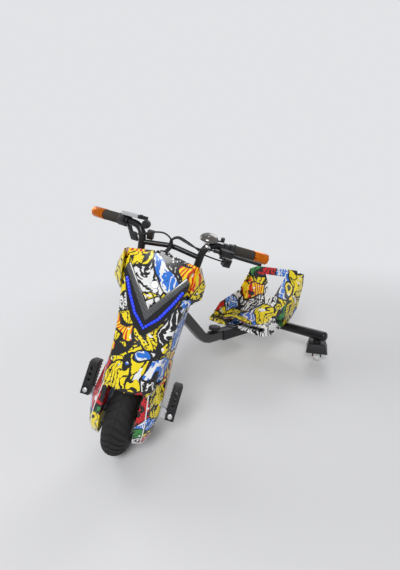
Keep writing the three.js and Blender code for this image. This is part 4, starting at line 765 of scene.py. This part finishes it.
# ---- V face: channel, light strip, trim, centre panel, headlight
# Stacked plates clip on the face: a black channel with a row of blue lights on a lit strip, a
# dark trim with a woven look, the printed middle panel, and a small round headlight.
def woven_look():
    """Two grey tows over and under each other, under a thick clear coat."""
    material = finish_of("woven_trim", (0.02, 0.02, 0.022), (0.03, 0.03, 0.033), 0.25, grain=200, relief=0.05)
    nodes, links = material.node_tree.nodes, material.node_tree.links
    shader = nodes["Principled BSDF"]
    shader.inputs["Coat Weight"].default_value = 1.0
    shader.inputs["Coat Roughness"].default_value = 0.06
    place = next(node for node in nodes if node.type == "TEX_COORD")
    mapping = nodes.new("ShaderNodeMapping")
    mapping.inputs["Rotation"].default_value = (0.4, 0.35, 0.6)
    links.new(place.outputs["Object"], mapping.inputs["Vector"])
    weave = nodes.new("ShaderNodeTexChecker")
    weave.inputs["Scale"].default_value = 260
    weave.inputs["Color1"].default_value = (0.012, 0.012, 0.014, 1)
    weave.inputs["Color2"].default_value = (0.075, 0.077, 0.082, 1)
    links.new(mapping.outputs["Vector"], weave.inputs["Vector"])
    links.new(weave.outputs["Color"], shader.inputs["Base Color"])
    return material


def glowing(name, colour, strength, roughness):
    """A lit surface with a little unevenness in its glow."""
    dimmer = tuple(c * 0.8 for c in colour)
    material = finish_of(name, dimmer, colour, roughness, grain=500, relief=0.05, patch=220)
    shader = material.node_tree.nodes["Principled BSDF"]
    tones = next(node for node in material.node_tree.nodes if node.type == "MIX")
    material.node_tree.links.new(tones.outputs[2], shader.inputs["Emission Color"])
    shader.inputs["Emission Strength"].default_value = strength
    return material


channel_gloss = finish_of("channel_gloss", (0.006, 0.006, 0.007), (0.012, 0.012, 0.013), 0.16, grain=90,
                          relief=0.04, sheen=0.35)
strip_glow = glowing("strip_glow", (0.002, 0.006, 0.26), 0.5, 0.3)
bead_glow = glowing("bead_glow", (0.010, 0.045, 0.95), 1.3, 0.2)
softened_piece("light_channel", "v_channel", 0.0008, channel_gloss, "steering", "channel_plastic")
softened_piece("woven_v_trim", "v_trim", 0.0012, woven_look(), "steering", "trim_plastic")
softened_piece("middle_panel", "centre_panel", 0.0012, film, "steering", "printed_plastic")
dress("light_strip", strip_glow)
face_lean = math.radians(20.7)
face_place = (wheel_place @ Matrix.Translation((0, 16, 321))
              @ Matrix.Rotation(math.pi / 2 - face_lean, 4, "X"))
strip_half, strip_run, bead_sink = 93, 243, -0.2
strip_shares = [(0, -0.004), (0.204, 0.078), (0.376, 0.144), (0.538, 0.259), (0.656, 0.337), (0.86, 0.507)]
arm = [(x * strip_half, y * strip_run, bead_sink) for x, y in strip_shares]
bead_line = [(-x, y, z) for x, y, z in reversed(arm[1:])] + arm
bead_profile = [(0, 1.8), (1.7, 1.6), (3.0, 1.0), (3.5, 0), (3.5, -0.6), (0, -0.6)]
light_bead = turned("light_bead", bead_profile, 12, Matrix.Identity(4))
beads = row_of("light_beads", bead_line, [(0, 0, 1)] * len(bead_line), light_bead, 33, face_place, bead_glow)
fitted("light_beads", beads, bead_glow, "steering", "blue_light")
lamp_place = face_place @ Matrix.Translation((0, 125, 0))
lamp_glow = glowing("lamp_glow", (0.86, 0.95, 1.0), 0.75, 0.1)
lens_profile = [(0, 3), (4, 2.8), (7.5, 2.0), (9, 1.2), (9, -8), (0, -8)]
turned_piece("headlight_lens", lens_profile, 36, lamp_place, lamp_glow, "steering", "white_light", "headlight")
ring_profile = [(9.1, -6), (9.1, 2.0), (9.7, 2.6), (10.4, 2.2), (10.4, -6)]
turned_piece("headlight_ring", ring_profile, 36, lamp_place, bright_steel, "steering", "axle_steel", closed=True)


# ---- Side wings
# A printed fin flares out on each side of the face, with a pale lower flange that is screwed
# to the flank of the shell.
for label in ("left", "right"):
    wing = softened_piece("wing_" + label, "side_wing_" + label, 0.0035, film, "steering", "printed_plastic",
                          segments=3)
    wing.data.materials.append(white_edge)
    for face in wing.data.polygons:
        if face.normal.z < -0.45:
            face.material_index = 1


# ---- Leg covers
# A hollow printed guard beside the wheel hides each fork leg. Its front and outer folds carry a
# thin white line, and its foot flares out below the axle.
leg_shares = [(0, 0.042, 0.519, 0.08, 0.852, 0.268, 0.815), (0.252, 0, 0.593, 0.052, 0.963, 0.239, 0.926),
              (0.551, 0.024, 0.556, 0.089, 1, 0.296, 0.907), (1, 0.174, 0.37, 0.202, 0.833, 0.606, 0.815)]
leg_levels = 22
guard_bottom, guard_height, guard_front, guard_depth = -18, 173.7, -97, 213
guard_inner, guard_width, behind_leg = 52, 54, 21
white_columns = (10, 24)


def guard_ring(share):
    """The guard's section at one height, from the middle of its inner side round its front."""
    front, corner_x, corner_y, shoulder_x, shoulder_y, back_x = eased(leg_shares, share)
    height = guard_bottom + share * guard_height
    back = height * math.tan(rake) + behind_leg / math.cos(rake)
    nose = guard_front + front * guard_depth
    middle = Vector((guard_inner, (nose + back) / 2, height))
    ring = [middle, Vector((guard_inner, nose, height)),
            Vector((guard_inner + corner_x * guard_width, guard_front + corner_y * guard_depth, height)),
            Vector((guard_inner + shoulder_x * guard_width, guard_front + shoulder_y * guard_depth, height)),
            Vector((guard_inner + back_x * guard_width, back, height)),
            Vector((guard_inner, back, height)), middle]
    return rounded(ring, [3, 7, 16, 5, 3], steps=4, runs=3)[:-1]


for side, label in both_sides:
    points = [Vector((side * p.x, p.y, p.z))
              for step in range(leg_levels + 1) for p in guard_ring(step / leg_levels)]
    around = len(points) // (leg_levels + 1)
    faces = [(r * around + c, r * around + (c + 1) % around,
              (r + 1) * around + (c + 1) % around, (r + 1) * around + c)
             for r in range(leg_levels) for c in range(around)]
    guard = shape_mesh("guard_" + label, points, faces, wheel_place)
    moulded_wall(fitted("guard_" + label, guard, film, "steering", "printed_plastic", "leg_cover_" + label,
                        crease=50))
    for place_at, face in enumerate(guard.polygons):
        if place_at % around in white_columns or place_at // around == 0:
            face.material_index = 1


# ---- Foot pegs
# Folding pegs of black anodised aluminium with a toothed tread and three lightening holes turn on
# bright bolts in steel brackets that stand out from the fork legs.
black_anodised = finish_of("black_anodised", (0.008, 0.008, 0.009), (0.016, 0.016, 0.017), 0.42, 0.2,
                           grain=1500, sheen=0.35)
for label in ("left", "right"):
    softened_piece("peg_arm_" + label, "foot_peg_" + label, 0.0009, black_anodised, "peg_" + label,
                   "black_alloy")
    softened_piece("peg_bracket_" + label + "_plated", "peg_bracket_" + label, 0.0007, bright_steel, "steering",
                   "axle_steel")


# ---- Handlebar
# Two bent steel tubes in black enamel rise from the top clamp and sweep out to the grips. A
# thinner brace is welded between the risers.
def tube_along(name, route, radius, sides, place):
    """A round tube along a line of points, closed at both ends."""
    points = []
    faces = []
    side_way = None
    for place_at, spot in enumerate(route):
        ahead_of = route[min(place_at + 1, len(route) - 1)] - route[max(place_at - 1, 0)]
        ahead_of.normalize()
        if side_way is None:
            side_way = ahead_of.orthogonal()
        side_way = (side_way - ahead_of * side_way.dot(ahead_of)).normalized()
        up_way = ahead_of.cross(side_way)
        for side in range(sides):
            angle = side / sides * math.tau
            points.append(spot + (side_way * math.cos(angle) + up_way * math.sin(angle)) * radius)
    for r in range(len(route) - 1):
        for c in range(sides):
            after = (c + 1) % sides
            faces.append((r * sides + c, r * sides + after, (r + 1) * sides + after, (r + 1) * sides + c))
    faces += [tuple(range(sides)), tuple(range((len(route) - 1) * sides, len(route) * sides))]
    return shape_mesh(name, points, faces, place)


def bent(start, corner, end, tangent, steps=16):
    """A straight run, a rounded corner and a straight run."""
    before = corner + (start - corner).normalized() * tangent
    after = corner + (end - corner).normalized() * tangent
    return [start, *arc(before, corner, after, steps), end]


bar_radius, bar_bend, brace_radius, brace_bend = 11.1, 45, 8, 22
for side, label in ((wheel_place, "left"), (wheel_place @ other_side, "right")):
    tube = tube_along("bar_tube_" + label, bent(riser_foot, elbow, bar_tip, bar_bend), bar_radius, 32, side)
    fitted("bar_tube_" + label, tube, black_enamel, "steering", "black_steel", "handlebar_" + label)
brace_route = bent(Vector((-84, 181.8, 504.5)), Vector((0, 187, 515)), Vector((84, 181.8, 504.5)), brace_bend)
brace = tube_along("bar_brace", brace_route, brace_radius, 28, wheel_place)
fitted("bar_brace", brace, black_enamel, "steering", "black_steel", "handlebar_brace")


# ---- Grips and bar ends
# Ribbed dark rubber sleeves slide on the bars and stop at a flange. Orange anodised weights with
# a notched rim and a dark plug close the bars outside them.
grip_rubber = finish_of("grip_rubber", (0.030, 0.025, 0.020), (0.052, 0.045, 0.038), 0.62, grain=900,
                        relief=0.35, sheen=0.3)
orange_anodised = finish_of("orange_anodised", (0.42, 0.080, 0.006), (0.76, 0.20, 0.014), 0.2, 1.0,
                            grain=1200, patch=60)
grip_start, grip_bore, grip_length, rib_pitch = 94.4, 11.4, 72, 4.2
grip_profile = [(grip_bore, grip_start), (17.6, grip_start), (19, grip_start + 1.2), (19, grip_start + 4),
                (18, grip_start + 5.2), (16, grip_start + 5.6)]
for rib in range(15):
    at = grip_start + 7.5 + rib * rib_pitch
    grip_profile += [(15.5, at), (16.5, at + 0.8), (16.5, at + 2.6), (15.5, at + 3.4)]
grip_profile += [(16.2, grip_start + grip_length - 1), (15.6, grip_start + grip_length),
                 (grip_bore, grip_start + grip_length)]
plug_profile = [(0, 215.44), (5.2, 215.44), (6, 214.44), (8.6, 216.04), (8.6, 214.24), (0, 214.24)]
for bar, label in ((left_bar, "left"), (right_bar, "right")):
    turned_piece("grip_sleeve_" + label, grip_profile, 40, bar, grip_rubber, "steering", "grip_rubber",
                 "grip_" + label, closed=True)
    softened_piece("bar_weight_" + label, "bar_end_" + label, 0.0006, orange_anodised, "steering",
                   "orange_alloy")
    turned_piece("bar_plug_" + label, plug_profile, 32, bar, black_abs, "steering", "black_plastic")


# ---- Throttle side
# The throttle housing with its thumb paddle clamps on the bar inside the right grip. A flat
# display pack in a silver case with a black inner end sits on top, and a horn disc and a wire
# block hang on the riser.
silver_shell = finish_of("silver_shell", (0.40, 0.40, 0.41), (0.52, 0.52, 0.53), 0.3, 0.2, grain=700,
                         relief=0.06)
softened_piece("throttle_body", "throttle_housing", 0.0012, black_abs, "steering", "black_plastic")
softened_piece("thumb_paddle", "throttle_paddle", 0.0018, black_abs, "throttle_paddle", "black_plastic",
               segments=3)
display = softened("display_pack", 0.0018, 3)
silver_end = -116
split_spot = wheel_place @ Vector((silver_end, 0, 0))
split_way = (wheel_place.to_3x3() @ Vector((1, 0, 0))).normalized()
work = bmesh.new()
work.from_mesh(display)
bmesh.ops.bisect_plane(work, geom=[*work.verts, *work.edges, *work.faces], plane_co=split_spot,
                       plane_no=split_way)
work.to_mesh(display)
work.free()
fitted("display_case", display, silver_shell, "steering", "silver_plastic", "display_pack")
display.materials.append(black_abs)
for face in display.polygons:
    face.material_index = 1 if (face.center - split_spot).dot(split_way) > 0 else 0
softened_piece("display_key", "display_button", 0.0006, black_abs, "display_button", "black_plastic")
softened_piece("horn_face", "horn_disc", 0.0012, black_abs, "steering", "black_plastic")
softened_piece("wire_block", "wire_clamp", 0.0015, black_abs, "steering", "black_plastic")


# ---- Brake side
# A clamp ring and perch hold the brake lever in front of the left grip. The light switch hangs
# below on a stalk, and a bell with a turned steel dome stands on the bend of the bar.
bell_steel = finish_of("bell_steel", (0.10, 0.095, 0.09), (0.20, 0.19, 0.18), 0.2, 1.0, grain=1500,
                       relief=0.04)
softened_piece("brake_perch", "brake_clamp", 0.0009, black_abs, "steering", "black_plastic")
softened_piece("brake_blade", "brake_lever", 0.0018, black_anodised, "brake_lever", "black_alloy", segments=3)
softened_piece("light_switch", "switch_box", 0.0016, black_abs, "steering", "black_plastic", segments=3)
softened_piece("light_switch_key", "switch_button", 0.0006, channel_gloss, "switch_button", "black_plastic")
softened_piece("bell_stand", "bell_base", 0.0004, bright_steel, "steering", "axle_steel")
softened_piece("bell_thumb", "bell_striker", 0.0008, black_abs, "bell_striker", "black_plastic")
riser_way = (elbow - riser_foot).normalized()
bell_shift = 11.25
bell_axis = (bar_up * 0.93 + bar_front * 0.12 - bar_along * 0.2).normalized()
bell_out = (bar_along - bell_axis * bell_axis.dot(bar_along)).normalized()
bell_place = Matrix((bell_out, bell_axis.cross(bell_out), bell_axis)).transposed().to_4x4()
bell_place.translation = elbow + bar_along * bell_shift - riser_way * bell_shift
dome_profile = [(0, 40.4), (13, 38.2), (21, 34.2), (24.4, 30.4), (25.9, 27.6), (28, 27.5), (28, 28.4),
                (27.2, 31.5), (24.5, 35.6), (20, 38.6), (13, 40.7), (12.4, 41.6), (6, 42.4), (0, 42.5)]
turned_piece("bell_cap", dome_profile, 48, wheel_place @ bell_place, bell_steel, "steering", "bell_chrome",
             "bell_dome")


# ---- Cable sleeve and tie
# A short soft plastic sleeve gathers the cables under a nylon tie, bends forward and enters
# the dash.
sleeve_route = smooth_route([tie_middle, Vector((0, 168, 516)), Vector((-8, 150, 500)),
                             Vector((-8, 150, 468))], 8)
sleeve = tube_along("wire_sleeve", sleeve_route, 6, 20, wheel_place)
fitted("wire_sleeve", sleeve, cable_skin, "steering", "black_plastic", "cable_bundle")
softened_piece("wire_tie", "cable_tie", 0.0003, black_abs, "steering", "black_plastic")


# ---- Main frame
# A rolled steel tube in dark metallic grey, bent once below the rider, is welded to the head
# tube at its upper end and runs back into the rear sleeve.
grey_lacquer = finish_of("grey_lacquer", (0.040, 0.038, 0.040), (0.062, 0.059, 0.060), 0.3, 0.55, grain=1800,
                         relief=0.1)
grey_lacquer.node_tree.nodes["Principled BSDF"].inputs["Coat Weight"].default_value = 0.3
softened_piece("bent_tube", "main_frame", 0.003, grey_lacquer, "frame", "grey_steel", segments=3, folds=30,
               crease=40)


# ---- Rear sleeve, knob and seat bracket
# A square sleeve in black enamel slides over the main tube and is clamped by a star knob on its
# tongue. A bent plate on it carries the seat.
softened_piece("slide_sleeve", "rear_sleeve", 0.0022, black_enamel, "rear", "black_steel", segments=3)
softened_piece("star_knob", "clamp_knob", 0.0012, black_abs, "clamp_knob", "black_plastic", crease=40)
softened_piece("seat_plate", "seat_bracket", 0.0012, black_enamel, "rear", "black_steel")


# ---- Bucket seat
# A blow-moulded printed bucket with upright sides, a low front lip and a tapered window in its
# back. Its rims are rounded, and it is bolted to the plate.
seat_film = printed_film("seat_film", 0.62, (0.2, 0.55, 0.4))
softened_piece("seat_bucket", "bucket_seat", 0.005, seat_film, "rear", "printed_plastic", segments=3, folds=20,
               crease=60)


# ---- Rear crossbar
# A thick round tube in black enamel with domed end caps, each set off by a fine groove, carries
# the casters.
crossbar_half = [(0, -305), (10, -304.2), (15.5, -302), (19.6, -298.5), (21, -294), (21, -288),
                 (20.7, -287.6), (20.7, -287), (21, -286.6)]
crossbar_profile = crossbar_half + [(r, -h) for r, h in reversed(crossbar_half)]
crossbar_spot = (0, 0.41153, 0.13307)
cross_place = (Matrix.Translation(crossbar_spot) @ Matrix.Rotation(math.pi / 2, 4, "Y")
               @ Matrix.Scale(millimetre, 4))
turned_piece("cross_tube", crossbar_profile, 48, cross_place, black_enamel, "rear", "black_steel",
             "rear_crossbar")


# ---- Casters
# Each caster has a steel fork on a stem, a flared plastic cover and a wheel of pale translucent
# plastic on a pin.
pale_wheel = finish_of("pale_wheel", (0.66, 0.66, 0.63), (0.78, 0.78, 0.75), 0.3, grain=300, relief=0.05)
pale_shader = pale_wheel.node_tree.nodes["Principled BSDF"]
pale_shader.inputs["Subsurface Weight"].default_value = 0.2
pale_shader.inputs["Subsurface Scale"].default_value = 0.004
roller_half = [(4.4, -10), (15, -10), (17, -13), (26.5, -13), (29.5, -11.8), (31.3, -8.5), (32, -4)]
roller_profile = roller_half + [(r, -h) for r, h in reversed(roller_half)]
caster_heading = math.radians(22.7)
for label in ("left", "right"):
    softened_piece("fork_" + label + "_steel", "caster_fork_" + label, 0.0009, black_enamel, "caster_" + label,
                   "black_steel")
    softened_piece("caster_hood_" + label, "caster_cover_" + label, 0.002, black_abs, "caster_" + label,
                   "black_plastic", segments=3)
    low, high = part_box("caster_wheel_" + label)
    roller_place = (Matrix.Translation((low + high) / 2) @ Matrix.Rotation(caster_heading, 4, "Z")
                    @ Matrix.Rotation(math.pi / 2, 4, "Y") @ Matrix.Scale(millimetre, 4))
    turned_piece("roller_" + label + "_pale", roller_profile, 48, roller_place, pale_wheel, "roller_" + label,
                 "caster_plastic", "caster_wheel_" + label, closed=True)


# ---- Floor and light
# A pale floor that keeps the shadow near the trike and fades into an even backdrop, with a broad
# soft lamp in front and above.
backdrop_grey = (0.76, 0.77, 0.79, 1)
floor_reach, fade_start, fade_end = 60, 0.8, 2.4


def full_where_seen(nodes, links, as_light, strength):
    """Full strength where a glow is seen directly, mirrored or through glass, and less as a light."""
    rays = nodes.new("ShaderNodeLightPath")
    seen = rays.outputs["Is Camera Ray"]
    for ray in ("Is Glossy Ray", "Is Transmission Ray"):
        either = nodes.new("ShaderNodeMath")
        either.operation = "MAXIMUM"
        links.new(seen, either.inputs[0])
        links.new(rays.outputs[ray], either.inputs[1])
        seen = either.outputs[0]
    brightness = nodes.new("ShaderNodeMapRange")
    brightness.inputs["To Min"].default_value = as_light
    links.new(seen, brightness.inputs["Value"])
    links.new(brightness.outputs["Result"], strength)


floor_mesh = bpy.data.meshes.new("floor")
floor_mesh.from_pydata([(x * floor_reach, y * floor_reach, 0) for x, y in ((-1, -1), (1, -1), (1, 1), (-1, 1))],
                       [], [(0, 1, 2, 3)])
floor_paint = finish_of("floor_paint", (0.74, 0.74, 0.75), (0.78, 0.78, 0.79), 0.6, grain=60, relief=0.02,
                        patch=1.5)
floor_nodes, floor_links = floor_paint.node_tree.nodes, floor_paint.node_tree.links
floor_spot = floor_nodes.new("ShaderNodeTexCoord")
from_trike = floor_nodes.new("ShaderNodeVectorMath")
from_trike.operation = "LENGTH"
floor_links.new(floor_spot.outputs["Object"], from_trike.inputs[0])
far_share = floor_nodes.new("ShaderNodeMapRange")
far_share.interpolation_type = "SMOOTHSTEP"
far_share.inputs["From Min"].default_value = fade_start
far_share.inputs["From Max"].default_value = fade_end
floor_links.new(from_trike.outputs["Value"], far_share.inputs["Value"])
far_glow = floor_nodes.new("ShaderNodeEmission")
far_glow.inputs["Color"].default_value = backdrop_grey
full_where_seen(floor_nodes, floor_links, 0.5, far_glow.inputs["Strength"])
fade = floor_nodes.new("ShaderNodeMixShader")
floor_links.new(far_share.outputs["Result"], fade.inputs["Fac"])
floor_links.new(floor_nodes["Principled BSDF"].outputs["BSDF"], fade.inputs[1])
floor_links.new(far_glow.outputs["Emission"], fade.inputs[2])
floor_links.new(fade.outputs["Shader"], floor_nodes["Material Output"].inputs["Surface"])
floor_mesh.materials.append(floor_paint)
floor = bpy.data.objects.new("floor", floor_mesh)
bpy.context.collection.objects.link(floor)
sky = bpy.data.worlds.new("sky")
bpy.context.scene.world = sky
sky.use_nodes = True
backdrop = sky.node_tree.nodes["Background"]
backdrop.inputs["Color"].default_value = backdrop_grey
full_where_seen(sky.node_tree.nodes, sky.node_tree.links, 0.42, backdrop.inputs["Strength"])
lamp_aim = Vector((0, 0, 0.3))
for name, spot, size, power in (("key", (1.6, -2.2, 2.6), 1.3, 74), ("fill", (-2.4, -0.6, 1.8), 1.6, 20),
                                ("back", (-0.6, 2.6, 2.2), 1.4, 20)):
    light = bpy.data.lights.new(name, "AREA")
    light.size = size
    light.energy = power
    lamp = bpy.data.objects.new(name, light)
    lamp.location = spot
    lamp.rotation_euler = (lamp_aim - Vector(spot)).to_track_quat("-Z", "Y").to_euler()
    bpy.context.collection.objects.link(lamp)
bpy.context.scene.view_settings.view_transform = "Standard"
